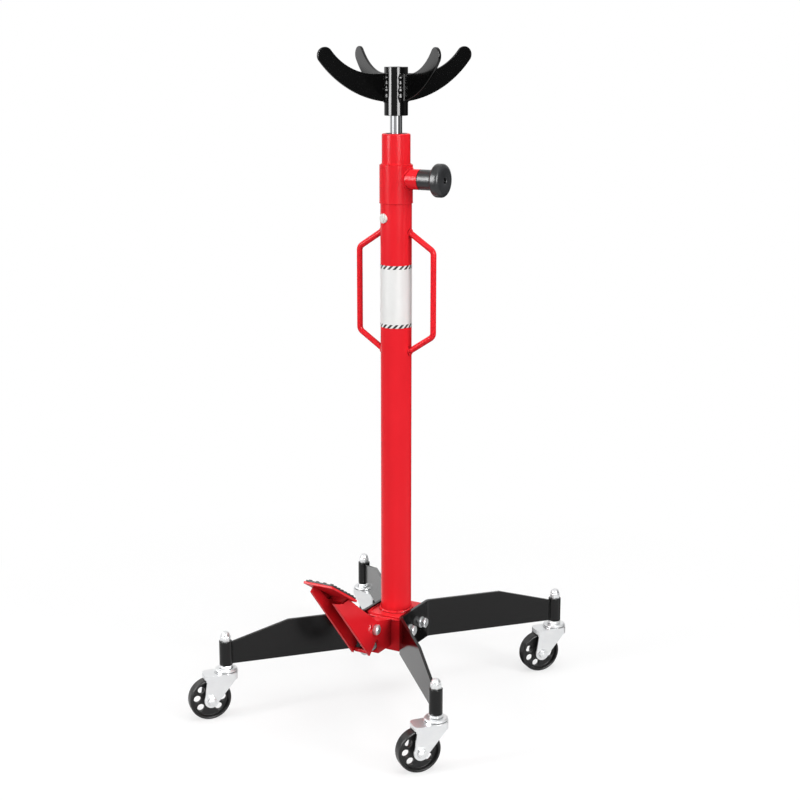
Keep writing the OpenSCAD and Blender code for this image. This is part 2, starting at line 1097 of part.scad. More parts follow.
module far_cheek() {
    difference() {
        union() {
            polygon([
                [tip_x, tip_z],
                [tip_x + 128, tip_z + 149],
                [tread_x + 63, tread_z + under * 63],
                [tread_x + 46, tread_z + under * 46],
                [tip_x + 93, tip_z + 134],
                [tip_x + 81, tip_z + 122.5],
                [tip_x + 74, tip_z + 120],
                [tread_x + 10, tread_z + under * 10],
                [tread_x + 4, tread_z + under * 4],
                [tip_x + 29, tip_z + 94],
                [pivot_out - 6, pivot_z + lobe_r - 1.5],
                [pivot_out - 10, pivot_z - 17],
                [tip_x - 15, tip_z + 14]
            ]);
            translate([pivot_out, pivot_z])
                circle(r = lobe_r);
        }
        translate([pivot_out, pivot_z])
            circle(r = pivot_r);
    }
}

module pedal_arm() {
    color("#c8202c")
        on_pedal_side() {
            side_plate(cheek_in, cheek_out)
                near_cheek();
            side_plate(-cheek_out, -cheek_in)
                far_cheek();
            side_plate(-cheek_out - pedal_t, -cheek_out + tiny)
                polygon([
                    [tread_x + 4, tread_z + under * 4],
                    [tread_x + 50, tread_z + under * 50],
                    [tip_x + 96, tip_z + 124],
                    [tip_x + 62, tip_z + 104]
                ]);
            side_plate(-cheek_in - tiny, cheek_in + tiny)
                polygon([
                    [tip_x + 29, tip_z + 94],
                    [tread_x + 4, tread_z + under * 4],
                    [tread_x + 10, tread_z + under * 10],
                    [tip_x + 66, tip_z + 115],
                    [tip_x + 8, tip_z + 73.5],
                    [tip_x + 6, tip_z + 77.2]
                ]);
        }
}

module striker_bar() {
    color("#c8202c")
        on_pedal_side()
            translate([striker_out, cheek_in, plunger_z])
                rotate([90, 0, 0])
                    cylinder(r = striker_r, h = 2 * cheek_in);
}

module on_tread() {
    on_pedal_side()
        translate([tread_x, 0, tread_z])
            rotate([0, -tread_tilt, 0])
                children();
}

module tread_plate() {
    color("#c8202c")
        on_tread()
            translate([0, -tread_w / 2, 0])
                cube([tread_l, tread_w, tread_t]);
}

module tread_pad() {
    stud_edge = tread_l / 10;
    stud_step = (tread_l - 2 * stud_edge) / 6;
    stud_row = tread_w / 4.05;
    pad_edge = tread_w / 27;
    color("#1b1c1e")
        on_tread() {
            translate([pad_edge, -tread_w / 2 + pad_edge, tread_t])
                cube([tread_l - 2 * pad_edge, tread_w - 2 * pad_edge, pad_t]);
            for (i = [0:6])
                for (j = [0:3])
                    translate([stud_edge + i * stud_step, (j - 1.5) * stud_row, tread_t + pad_t - tiny])
                        cylinder(r = 3, h = stud_h, $fn = 24);
        }
}

module pivot_bolt() {
    color("#b0b4b8")
        on_pedal_side()
            translate([pivot_out, 0, pivot_z])
                rotate([90, 0, 0]) {
                    translate([0, 0, -cheek_out - 9])
                        cylinder(r = pivot_r, h = 2 * cheek_out + 9 + tiny);
                    translate([0, 0, cheek_out])
                        hex(pivot_d * 1.6, 6.4);
                }
}

module pivot_nut() {
    color("#c9ccd0")
        on_pedal_side()
            translate([pivot_out, cheek_out, pivot_z])
                rotate([-90, 0, 0])
                    difference() {
                        hex(pivot_d * 1.6, 8);
                        translate([0, 0, -1])
                            cylinder(r = pivot_r + run_fit, h = 10);
                    }
}

hub_box();
hub_lid();
valve_block();
leg_pair_front();
leg_pair_back();
leg_bolts();
leg_washers();
spring_washers();
caster_posts();
caster_stems();
acorn_nuts();
jam_nuts();
swivel_races();
thrust_washers();
column_tube();
cylinder_tube();
collar();
valve_boss();
upper_sleeve();
gland();
rod_seal();
wiper();
filler_plug();
label_band();
handle_front();
handle_back();
ram_rod();
piston();
piston_seal();
saddle_hub();
saddle_arms_wide();
saddle_arms_deep();
release_knob();
valve_needle();
pump_block();
plunger_seal();
pump_plunger();
pump_spring();
pedal_arm();
striker_bar();
tread_plate();
tread_pad();
pivot_bolt();
pivot_nut();
fork_left();
fork_front();
fork_right();
fork_back();
axle_left();
axle_front();
axle_right();
axle_back();
wheel_left();
wheel_front();
wheel_right();
wheel_back();
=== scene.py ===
"""Looks of an upright hydraulic transmission jack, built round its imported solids."""

from __future__ import annotations

import json
import logging
import math
from collections.abc import Callable, Iterable, Sequence
from dataclasses import dataclass
from enum import Enum

import bmesh
import bpy
from mathutils import Matrix, Vector

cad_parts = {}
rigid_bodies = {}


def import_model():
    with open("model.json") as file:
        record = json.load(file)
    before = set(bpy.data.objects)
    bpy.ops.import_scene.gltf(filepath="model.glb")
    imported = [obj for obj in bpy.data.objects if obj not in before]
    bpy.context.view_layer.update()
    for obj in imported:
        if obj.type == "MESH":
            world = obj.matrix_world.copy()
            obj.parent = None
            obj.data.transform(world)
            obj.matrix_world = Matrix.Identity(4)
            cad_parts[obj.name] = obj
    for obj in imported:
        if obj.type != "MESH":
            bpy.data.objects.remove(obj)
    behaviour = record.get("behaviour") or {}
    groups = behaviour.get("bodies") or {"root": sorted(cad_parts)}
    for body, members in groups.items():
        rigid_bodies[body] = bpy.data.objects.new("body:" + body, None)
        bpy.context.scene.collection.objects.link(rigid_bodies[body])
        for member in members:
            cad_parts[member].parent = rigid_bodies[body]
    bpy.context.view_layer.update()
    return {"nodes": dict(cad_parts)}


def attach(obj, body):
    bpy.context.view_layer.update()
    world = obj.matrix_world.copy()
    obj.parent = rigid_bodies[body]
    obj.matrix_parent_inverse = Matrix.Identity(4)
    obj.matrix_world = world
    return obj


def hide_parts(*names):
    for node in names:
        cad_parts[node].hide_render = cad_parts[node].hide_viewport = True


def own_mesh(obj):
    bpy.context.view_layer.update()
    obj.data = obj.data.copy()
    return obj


for leftover in list(bpy.data.objects):
    bpy.data.objects.remove(leftover)
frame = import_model()

LOG = logging.getLogger("transmission_jack")
IMAGE_SIDE = 800.0
FULL_TURN = 2.0 * math.pi
ORIGIN = (0.0, 0.0, 0.0)
BOTH_WAYS = (-1.0, 1.0)

# Mesh limits: merge distance in metres, and angles between faces in degrees
MERGE_DISTANCE = 1e-6
FLAT_FOLD = 0.4
HARD_FOLD = 32.0
SHEET_FOLDS = (30.0, 60.0)
STEPS_PER_RIPPLE = 4

# Hexagon heads: reach of a corner, and shares of the width across flats
HEX_REACH = 1.0 / math.cos(math.pi / 6.0)
HEX_EASE = 0.035
CROWN_RADII = (0.49, 0.43)

Point = tuple[float, float, float]
Pair = tuple[float, float]
Colour = tuple[float, float, float, float]
Mesh = bmesh.types.BMesh
Edges = list[bmesh.types.BMEdge]
Socket = bpy.types.NodeSocket

WHITE: Colour = (1.0, 1.0, 1.0, 1.0)
PAINT_DUST: Colour = (0.42, 0.40, 0.37, 1.0)
RUBBER_DUST: Colour = (0.36, 0.34, 0.31, 1.0)


class Coat(Enum):
    """The finishes, each with the record's slot name."""

    RED = "red_paint"
    BLACK = "black_paint"
    ZINC = "zinc"
    STEEL = "steel"
    CHROME = "chrome_rod"
    BRONZE = "bronze"
    SEAL = "seal_rubber"
    PAD = "pad_rubber"
    WHEEL = "wheel_plastic"
    KNOB = "knob_plastic"
    PLUG = "plug_plastic"
    LABEL = "label_film"


class Corner(Enum):
    """The casters: angle of the post and heading of the trail, in degrees."""

    LEFT = (184.0, -174.5)
    FRONT = (-94.0, -174.5)
    RIGHT = (4.0, -174.5)
    BACK = (86.0, -60.0)

    @property
    def label(self) -> str:
        """Name that the caster's solids carry."""
        return self.name.lower()

    def post(self, ring: float) -> Matrix:
        """Frame of the caster's post at the floor, on a ring round the column."""
        return turned(self.value[0], (ring, 0.0, 0.0))


class Facing(Enum):
    """Turns about the column of the faces that carry pieces, in degrees."""

    KNOB = -45.0
    FAR = 135.0
    PEDAL = -135.0
    HUB = 45.0


class LampUse(Enum):
    """What a lamp does: lights surfaces or shows in gloss."""

    FILL = (True, False)
    MIRROR = (False, True)


# Frames and bmesh helpers


def up(height: float) -> Matrix:
    """Move along Z, in metres."""
    return Matrix.Translation((0.0, 0.0, height))


def lying(axis: str, angle: float) -> Matrix:
    """Turn about one axis, in degrees."""
    return Matrix.Rotation(math.radians(angle), 4, axis)


def turned(angle: float, offset: Point = ORIGIN) -> Matrix:
    """Turn about the column in degrees, then a move along the turned axes in metres."""
    return lying("Z", angle) @ Matrix.Translation(offset)


def outward(facing: Facing, offset: Point) -> Matrix:
    """Frame on a face of the jack, with its Z axis out of the column."""
    return turned(facing.value, offset) @ lying("Y", 90.0)


def edges_of(parts: Iterable[object]) -> Edges:
    """The edges among the parts of a mesh."""
    return [part for part in parts if isinstance(part, bmesh.types.BMEdge)]


def fold_angle(edge: bmesh.types.BMEdge) -> float:
    """Angle between an edge's two faces in degrees, or 0 where it hasn't two."""
    return math.degrees(edge.calc_face_angle(0.0)) if len(edge.link_faces) == 2 else 0.0


def is_upright(edge: bmesh.types.BMEdge) -> bool:
    """True for an edge that runs along Z."""
    run = edge.verts[1].co - edge.verts[0].co
    return abs(run.z) > 0.99 * run.length


def joined(parts: Iterable[Mesh]) -> Mesh:
    """Puts meshes together and frees them.

    Args:
        parts: Meshes to join.

    Returns:
        The joined mesh.
    """
    whole = bmesh.new()
    for part in parts:
        carrier = bpy.data.meshes.new("carrier")
        part.to_mesh(carrier)
        part.free()
        whole.from_mesh(carrier)
        bpy.data.meshes.remove(carrier)
    return whole


def placed(bm: Mesh, place: Matrix) -> Mesh:
    """Turns a mesh's faces outward and moves it into a frame.

    Args:
        bm: Mesh to change.
        place: Frame that it belongs in.

    Returns:
        The same mesh.
    """
    bmesh.ops.recalc_face_normals(bm, faces=bm.faces)
    bmesh.ops.transform(bm, matrix=place, verts=bm.verts)
    return bm


def ease(bm: Mesh, parts: list, width: float, segments: int, affect: str = "EDGES") -> None:
    """Rounds edges or corners of a mesh.

    Args:
        bm: Mesh to change.
        parts: Edges or vertices to round.
        width: Width of the rounding in metres.
        segments: Faces across the rounding.
        affect: "EDGES" or "VERTICES".
    """
    shape = {"offset_type": "OFFSET", "profile": 0.5, "clamp_overlap": True, "material": -1}
    bmesh.ops.bevel(bm, geom=parts, offset=width, segments=segments, affect=affect, **shape)


def circle(bm: Mesh, radius: float, sides: int, place: Matrix, filled: bool) -> Edges:
    """Draws a circle in a frame's XY plane.

    Args:
        bm: Mesh to change.
        radius: Radius in metres.
        sides: Sides of the circle.
        place: Frame of its middle.
        filled: True for a face in it.

    Returns:
        Its edges.
    """
    made = bmesh.ops.create_circle(
        bm, cap_ends=filled, radius=radius, segments=sides, matrix=place
    )
    return list(dict.fromkeys(e for v in made["verts"] for e in v.link_edges))


def sweep(bm: Mesh, edges: Edges, angle: float, steps: int, **course: object) -> Edges:
    """Sweeps edges round an axis.

    Args:
        bm: Mesh to change.
        edges: Edges to sweep.
        angle: Whole angle in radians.
        steps: Steps on the way.
        **course: Inputs of the spin operator where it isn't a plain turn about Z.

    Returns:
        Edges at the end of the sweep.
    """
    verts = list(dict.fromkeys(v for e in edges for v in e.verts))
    course = {"cent": ORIGIN, "axis": (0.0, 0.0, 1.0), "dvec": ORIGIN, **course}
    made = bmesh.ops.spin(bm, geom=verts + edges, angle=angle, steps=steps, **course)
    return edges_of(made["geom_last"])


def spun(
    points: Sequence[Pair], place: Matrix, steps: int, rounding: float, closed: bool = False
) -> Mesh:
    """Turns a profile of (radius, height) about the local Z axis.

    Args:
        points: Profile corners in metres.
        place: Frame of the turned piece.
        steps: Steps in a full turn.
        rounding: Radius cut on the profile's corners, in metres.
        closed: True for a ring that doesn't touch the axis.

    Returns:
        The turned mesh.
    """
    bm = bmesh.new()
    verts = [bm.verts.new((r, 0.0, z)) for r, z in points]
    for pair in zip(verts, verts[1:] + verts[:1] if closed else verts[1:]):
        bm.edges.new(pair)
    ease(bm, [v for v in verts if len(v.link_edges) == 2], rounding, 4, "VERTICES")
    sweep(bm, bm.edges[:], FULL_TURN, steps, use_merge=True)
    bmesh.ops.remove_doubles(bm, verts=bm.verts, dist=MERGE_DISTANCE)
    return placed(bm, place)


def cone(place: Matrix, radii: Pair, length: float, sides: int) -> Mesh:
    """Capped cone that stands on a frame's origin.

    Args:
        place: Frame of the lower end.
        radii: Lower and upper radius in metres.
        length: Length along Z in metres.
        sides: Sides of the cone.

    Returns:
        The cone's mesh.
    """
    bm = bmesh.new()
    low, high = radii
    middle = place @ up(length / 2.0)
    bmesh.ops.create_cone(
        bm, cap_ends=True, segments=sides, radius1=low, radius2=high, depth=length, matrix=middle
    )
    return bm


def rod(place: Matrix, radius: float, length: float, rim: float, sides: int = 48) -> Mesh:
    """Round bar with eased ends, from the frame's origin along its Z axis.

    Args:
        place: Frame of the bar's lower end.
        radius: Radius in metres.
        length: Length in metres.
        rim: Size of the eased end edges in metres.
        sides: Sides of the bar.

    Returns:
        The bar's mesh.
    """
    bm = cone(place, (radius, radius), length, sides)
    caps = [f for f in bm.faces if len(f.verts) == sides]
    ease(bm, [e for f in caps for e in f.edges], rim, 2)
    return bm


def hex_block(place: Matrix, flats: float, height: float, crown: float) -> Mesh:
    """Hexagon nut or bolt head with eased corners and a turned crown.

    Args:
        place: Frame of the seat, with Z out of the seat.
        flats: Width across flats in metres.
        height: Whole height in metres.
        crown: Height of the turned crown at the outer end, in metres.

    Returns:
        The head's mesh.
    """
    reach = flats / 2.0 * HEX_REACH
    body = cone(place @ lying("Z", 30.0), (reach, reach), height - crown, 6)
    ease(body, body.edges[:], flats * HEX_EASE, 2)
    depth = 1.5 * crown
    low, high = CROWN_RADII
    top = cone(place @ up(height - depth), (flats * low, flats * high), depth, 36)
    return joined((body, top))


def eased_copy(node: str, width: float, bend: float) -> Mesh:
    """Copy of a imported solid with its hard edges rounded.

    Args:
        node: Name of the solid.
        width: Width of the rounding in metres.
        bend: Width of the rounding along upright sheet bends, in metres.

    Returns:
        The copy's mesh.
    """
    bm = bmesh.new()
    bm.from_mesh(frame["nodes"][node].data)
    bmesh.ops.remove_doubles(bm, verts=bm.verts, dist=MERGE_DISTANCE)
    bmesh.ops.dissolve_limit(
        bm,
        angle_limit=math.radians(FLAT_FOLD),
        use_dissolve_boundaries=False,
        verts=bm.verts,
        edges=bm.edges,
    )
    if bend > 0.0:
        low, high = SHEET_FOLDS
        folds = [e for e in bm.edges if is_upright(e) and low < fold_angle(e) < high]
        ease(bm, folds, bend, 5)
    ease(bm, [e for e in bm.edges if fold_angle(e) > HARD_FOLD], width, 2)
    bmesh.ops.triangulate(bm, faces=[f for f in bm.faces if len(f.verts) > 4])
    return bm


def ripple(place: float, seed: float, height: float = 0.16) -> float:
    """Swell of a weld bead along its run.

    Args:
        place: Place along the bead in ripples.
        seed: Shift that makes each bead differ.
        height: Height of a ripple as a share of the bead.

    Returns:
        A factor near 1.
    """
    wave = math.sin(FULL_TURN * place + seed)
    drift = 0.75 * math.sin(1.7 * place + 2.3 * seed) + 0.5 * math.sin(4.1 * place)
    return 1.0 + height * (wave + drift)


def ring_bead(
    place: Matrix,
    ring: float,
    bead: float,
    ripples: int,
    seed: float,
    lift: Callable[[float], float] | None = None,
) -> Mesh:
    """Weld bead round the frame's Z axis.

    Args:
        place: Frame of the ring's middle.
        ring: Radius of the ring in metres.
        bead: Radius of the bead in metres.
        ripples: Ripples round the ring.
        seed: Shift that makes each bead differ.
        lift: Height along Z by angle, for a seam that isn't flat.

    Returns:
        The bead's mesh.
    """
    bm = bmesh.new()
    steps = ripples * STEPS_PER_RIPPLE
    start = Matrix.Translation((ring, 0.0, 0.0)) @ lying("X", 90.0)
    sweep(bm, circle(bm, bead, 8, start, False), FULL_TURN, steps, use_merge=True)
    for vert in bm.verts:
        angle = math.atan2(vert.co.y, vert.co.x)
        core = Vector((ring * math.cos(angle), ring * math.sin(angle), 0.0))
        turn = (angle / FULL_TURN) % 1.0
        swell = ripple(round(turn * steps) / STEPS_PER_RIPPLE, seed)
        vert.co = core + (vert.co - core) * swell
        if lift is not None:
            vert.co.z += lift(angle)
    return placed(bm, place)


def line_bead(
    place: Matrix, length: float, bead: float, pitch: float, seed: float, height: float = 0.16
) -> Mesh:
    """Straight weld bead from the frame's origin along its Z axis.

    Args:
        place: Frame of the bead's start.
        length: Length in metres.
        bead: Radius of the bead in metres.
        pitch: Length of a ripple in metres.
        seed: Shift that makes each bead differ.
        height: Height of a ripple as a share of the bead.

    Returns:
        The bead's mesh.
    """
    bm = cone(Matrix.Identity(4), (bead, bead), length, 8)
    runs = [e for e in bm.edges if is_upright(e)]
    cuts = max(6, int(length / pitch * STEPS_PER_RIPPLE))
    bmesh.ops.subdivide_edges(bm, edges=runs, cuts=cuts, use_grid_fill=True)
    for vert in bm.verts:
        along = vert.co.z / length
        taper = min(1.0, 0.45 + 4.0 * min(along, 1.0 - along))
        swell = ripple(along * length / pitch, seed, height) * taper
        vert.co.x *= swell
        vert.co.y *= swell
    return placed(bm, place)


# Shader graphs


class Graph:
    """Thin helper that adds nodes to one node tree."""

    def __init__(self, tree: bpy.types.NodeTree) -> None:
        """Keeps the tree that nodes are added to."""
        self.tree = tree

    @classmethod
    def emptied(cls, owner: bpy.types.Material | bpy.types.World) -> Graph:
        """Graph of a material or world without its first nodes.

        Args:
            owner: Material or world.

        Returns:
            The empty graph.
        """
        owner.use_nodes = True
        owner.node_tree.nodes.clear()
        return cls(owner.node_tree)

    def add(
        self, kind: str, values: dict[str | int, object] | None = None, **settings: object
    ) -> bpy.types.Node:
        """Adds a node, sets it and links its inputs.

        Args:
            kind: Blender's name of the node type, without ShaderNode.
            values: Input name or index to a constant or a socket to link.
            **settings: Attributes of the node.

        Returns:
            The new node.
        """
        node = self.tree.nodes.new(kind if kind.startswith("NodeGroup") else f"ShaderNode{kind}")
        for key, value in settings.items():
            setattr(node, key, value)
        for key, value in (values or {}).items():
            if isinstance(value, Socket):
                self.tree.links.new(value, node.inputs[key])
            else:
                node.inputs[key].default_value = value
        return node

    def math(self, operation: str, *values: object) -> Socket:
        """Result of an operation on constants or sockets."""
        return self.add("Math", dict(enumerate(values)), operation=operation).outputs[0]

    def product(self, first: object, *others: object) -> Socket:
        """Constants or sockets multiplied.

        Args:
            first: First factor.
            *others: Other factors.

        Returns:
            The product.
        """
        for other in others:
            first = self.math("MULTIPLY", first, other)
        return first

    def mix(self, share: object, a: object, b: object) -> Socket:
        """Two colours mixed, by the share of the second."""
        return self.add("Mix", {0: share, 6: a, 7: b}, data_type="RGBA").outputs[2]

    def over(self, colour: Socket, *coats: tuple[Socket, Colour]) -> Socket:
        """Masked colours laid over a colour, in order.

        Args:
            colour: Colour below.
            *coats: Mask and colour of each coat.

        Returns:
            The colour on top.
        """
        for mask, coat in coats:
            colour = self.mix(mask, colour, coat)
        return colour

    def span(self, value: Socket, low: float, high: float, *ends: float) -> Socket:
        """Value mapped from one range to another and clamped."""
        inputs = dict(enumerate((value, low, high, *ends)))
        return self.add("MapRange", inputs, clamp=True).outputs[0]

    def place(self) -> Socket:
        """Object coordinates."""
        return self.add("TexCoord").outputs["Object"]

    def split(self, vector: Socket) -> bpy.types.NodeOutputs:
        """X, Y and Z of a vector."""
        return self.add("SeparateXYZ", {0: vector}).outputs

    def dot(self, a: Socket, b: object) -> Socket:
        """Dot product of two vectors."""
        return self.add("VectorMath", {0: a, 1: b}, operation="DOT_PRODUCT").outputs["Value"]

    def noise(self, place: Socket, scale: object, detail: float) -> Socket:
        """Noise over places, by its scale and its detail."""
        values = {"Vector": place, "Scale": scale, "Detail": detail}
        return self.add("TexNoise", values).outputs["Fac"]

    def bump(self, height: Socket, strength: float, depth: float) -> Socket:
        """Normal that a height gives, by its strength and its depth in metres."""
        values = {"Strength": strength, "Distance": depth, "Height": height}
        return self.add("Bump", values).outputs["Normal"]

    def use(self, group: bpy.types.NodeTree, **values: float) -> bpy.types.NodeOutputs:
        """Outputs of a shared group at the given inputs."""
        return self.add("Group", values, node_tree=group).outputs

    def white(self, kind: str, strength: object) -> Socket:
        """White light of an Emission or Background node."""
        return self.add(kind, {"Color": WHITE, "Strength": strength}).outputs[0]

    def blend(self, share: object, a: Socket, b: Socket) -> Socket:
        """Two shaders mixed, by the share of the second."""
        return self.add("MixShader", {0: share, 1: a, 2: b}).outputs[0]


class SharedEffects:
    """Node groups that several finishes use, each built once."""

    def __init__(self) -> None:
        """Builds the groups."""
        self.grain = self.group("surface_grain", self.draw_grain, Scale=400.0, Broad=9.0)
        self.wear = self.group("edge_wear", self.draw_wear, Radius=0.001, Scale=90.0, Amount=0.5)
        self.dust = self.group("dust_film", self.draw_dust, Scale=30.0, Amount=0.1)
        # Painted shade: an ambient-occlusion mask that darkens corners, gaps and recesses.
        self.grime = self.group("recess_grime", self.draw_grime, Reach=0.03, Scale=60.0, Amount=0.5)

    @staticmethod
    def group(
        name: str,
        draw: Callable[[Graph, bpy.types.NodeOutputs], dict[str, Socket]],
        **inputs: float,
    ) -> bpy.types.NodeTree:
        """Makes a group whose sockets are all plain numbers.

        Args:
            name: Name of the group.
            draw: Adds the nodes and returns the outputs by name.
            **inputs: Input names and their defaults.

        Returns:
            The group.
        """
        tree = bpy.data.node_groups.new(name, "ShaderNodeTree")
        kind = "NodeSocketFloat"
        for label, default in inputs.items():
            socket = tree.interface.new_socket(label, in_out="INPUT", socket_type=kind)
            socket.default_value = default
        g = Graph(tree)
        outputs = draw(g, g.add("NodeGroupInput").outputs)
        for label in outputs:
            tree.interface.new_socket(label, in_out="OUTPUT", socket_type=kind)
        g.add("NodeGroupOutput", outputs)
        return tree

    @staticmethod
    def draw_grain(g: Graph, entry: bpy.types.NodeOutputs) -> dict[str, Socket]:
        """Fine height and broad tone that vary over a surface.

        Args:
            g: Graph of the group.
            entry: Its inputs.

        Returns:
            The outputs by name.
        """
        place = g.place()
        broad = g.noise(place, entry["Broad"], 4.0)
        height = g.noise(place, entry["Scale"], 3.0)
        return {"Height": height, "Tone": g.span(broad, 0.3, 0.7, 0.0, 1.0)}

    @staticmethod
    def draw_wear(g: Graph, entry: bpy.types.NodeOutputs) -> dict[str, Socket]:
        """Broken mask along hard edges.

        Args:
            g: Graph of the group.
            entry: Its inputs.

        Returns:
            The outputs by name.
        """
        rounded = g.add("Bevel", {"Radius": entry["Radius"]}, samples=4).outputs["Normal"]
        turn = g.dot(rounded, g.add("NewGeometry").outputs["Normal"])
        edge = g.span(turn, 0.97, 0.80, 0.0, 1.0)
        broken = g.span(g.noise(g.place(), entry["Scale"], 5.0), 0.48, 0.62, 0.0, 1.0)
        return {"Mask": g.product(edge, broken, entry["Amount"])}

    @staticmethod
    def draw_dust(g: Graph, entry: bpy.types.NodeOutputs) -> dict[str, Socket]:
        """Patchy mask on faces that look up.

        Args:
            g: Graph of the group.
            entry: Its inputs.

        Returns:
            The outputs by name.
        """
        level = g.split(g.add("NewGeometry").outputs["Normal"])["Z"]
        patch = g.span(g.noise(g.place(), entry["Scale"], 6.0), 0.35, 0.75, 0.2, 1.0)
        return {"Mask": g.product(g.span(level, 0.35, 1.0, 0.0, 1.0), patch, entry["Amount"])}

    @staticmethod
    def draw_grime(g: Graph, entry: bpy.types.NodeOutputs) -> dict[str, Socket]:
        """Patchy mask of painted shade in corners and narrow gaps, taken from ambient occlusion.

        Args:
            g: Graph of the group.
            entry: Its inputs.

        Returns:
            The outputs by name.
        """
        shelter = g.add("AmbientOcclusion", {"Distance": entry["Reach"]}, samples=8)
        deep = g.span(shelter.outputs["AO"], 0.28, 0.66, 1.0, 0.0)
        patch = g.span(g.noise(g.place(), entry["Scale"], 5.0), 0.3, 0.7, 0.7, 1.0)
        return {"Mask": g.product(deep, patch, entry["Amount"])}


@dataclass(frozen=True)
class Finish:
    """What every finish has: a name and two tones of one colour."""

    name: str
    colour: Colour
    deep: Colour

    def make(self, effects: SharedEffects) -> bpy.types.Material:
        """Builds the material.

        Args:
            effects: Shared node groups.

        Returns:
            The material.
        """
        material = bpy.data.materials.new(self.name)
        g = Graph.emptied(material)
        shader = g.add("BsdfPrincipled", self.surface(g, effects))
        g.add("OutputMaterial", {"Surface": shader.outputs[0]})
        return material

    def surface(self, g: Graph, effects: SharedEffects) -> dict[str, object]:
        """Inputs of the Principled shader, which each kind of finish gives."""
        raise NotImplementedError


@dataclass(frozen=True)
class Enamel(Finish):
    """Stoved gloss paint with orange peel, thin edges, dust, and painted shade darkening its
    corners.
    """

    thin: Colour
    gloss: Pair = (0.16, 0.24)
    shine: float = 0.2
    wear: float = 0.25
    dust: float = 0.05
    dust_rough: float = 0.6
    # Painted shade: the dark tint that the ambient-occlusion mask lays in corners and recesses.
    dirt: Colour = (0.05, 0.003, 0.004, 1.0)
    grime: float = 0.95
    scuff: float = 0.025
    scuff_reach: Pair = (0.15, 0.5)
    peel: float = 0.008

    def surface(self, g: Graph, effects: SharedEffects) -> dict[str, object]:
        """Inputs of the paint's shader.

        Args:
            g: Graph of the material.
            effects: Shared node groups.

        Returns:
            Input name to value.
        """
        grain = g.use(effects.grain, Scale=260.0, Broad=7.0)
        wear = g.use(effects.wear, Radius=0.0012, Amount=self.wear)["Mask"]
        dust = g.use(effects.dust, Amount=self.dust)["Mask"]
        # Painted shade in recesses, from ambient occlusion.
        grime = g.use(effects.grime, Reach=0.036, Amount=self.grime)["Mask"]
        paint = g.mix(grain["Tone"], self.deep, self.colour)
        low = g.span(g.split(g.place())["Z"], *self.scuff_reach, self.scuff, 0.0)
        rough = g.span(grain["Tone"], 0.0, 1.0, *self.gloss)
        rough = g.math("ADD", rough, g.product(dust, self.dust_rough))
        return {
            "Base Color": g.over(paint, (wear, self.thin), (dust, PAINT_DUST), (grime, self.dirt)),
            "Roughness": g.math("ADD", rough, low),
            "Specular IOR Level": self.shine,
            "Normal": g.bump(grain["Height"], self.peel, 0.001),
        }


@dataclass(frozen=True)
class Plate(Finish):
    """Bare or plated metal with drawn lines, a cloudy tone and painted shade in its recesses."""

    rough: Pair
    lines: Point
    bite: float = 0.08
    metal: float = 1.0
    # Painted shade: the dark tint that the ambient-occlusion mask lays in corners and recesses.
    dirt: Colour = (0.035, 0.034, 0.032, 1.0)
    grime: float = 0.85

    def surface(self, g: Graph, effects: SharedEffects) -> dict[str, object]:
        """Inputs of the metal's shader.

        Args:
            g: Graph of the material.
            effects: Shared node groups.

        Returns:
            Input name to value.
        """
        grain = g.use(effects.grain, Scale=700.0, Broad=38.0)
        # Painted shade in recesses, from ambient occlusion.
        grime = g.use(effects.grime, Reach=0.009, Amount=self.grime)["Mask"]
        drawn = g.add("Mapping", {"Vector": g.place(), "Scale": self.lines}).outputs[0]
        streak = g.noise(drawn, 1.0, 3.0)
        cloud = g.span(g.product(grain["Tone"], streak), 0.1, 0.6, 0.0, 1.0)
        return {
            "Base Color": g.over(g.mix(cloud, self.deep, self.colour), (grime, self.dirt)),
            "Metallic": self.metal,
            "Roughness": g.span(streak, 0.3, 0.7, *self.rough),
            "Normal": g.bump(streak, self.bite, 0.0004),
        }


@dataclass(frozen=True)
class Moulded(Finish):
    """Moulded plastic or rubber with a fine skin, pale scuffed edges and painted shade in its
    recesses.
    """

    scuff: Colour
    rough: Pair
    skin: float
    bite: float
    shine: float = 0.5
    wear: float = 0.3
    dust: float = 0.08
    # Painted shade: the dark tint that the ambient-occlusion mask lays in recesses.
    grime: float = 0.0
    dirt: Colour = (0.001, 0.001, 0.001, 1.0)

    def surface(self, g: Graph, effects: SharedEffects) -> dict[str, object]:
        """Inputs of the moulding's shader.

        Args:
            g: Graph of the material.
            effects: Shared node groups.

        Returns:
            Input name to value.
        """
        grain = g.use(effects.grain, Scale=self.skin, Broad=24.0)
        wear = g.use(effects.wear, Radius=0.0015, Amount=self.wear)["Mask"]
        dust = g.use(effects.dust, Amount=self.dust)["Mask"]
        # Painted shade in recesses, from ambient occlusion.
        grime = g.use(effects.grime, Reach=0.014, Amount=self.grime)["Mask"]
        tint = g.mix(grain["Tone"], self.deep, self.colour)
        return {
            "Base Color": g.over(tint, (wear, self.scuff), (dust, RUBBER_DUST), (grime, self.dirt)),
            "Roughness": g.span(grain["Tone"], 0.0, 1.0, *self.rough),
            # The painted shade also takes away the reflection in recesses.
            "Specular IOR Level": g.span(grime, 0.0, 0.7, self.shine, 0.0),
            "Normal": g.bump(grain["Height"], self.bite, 0.0006),
        }


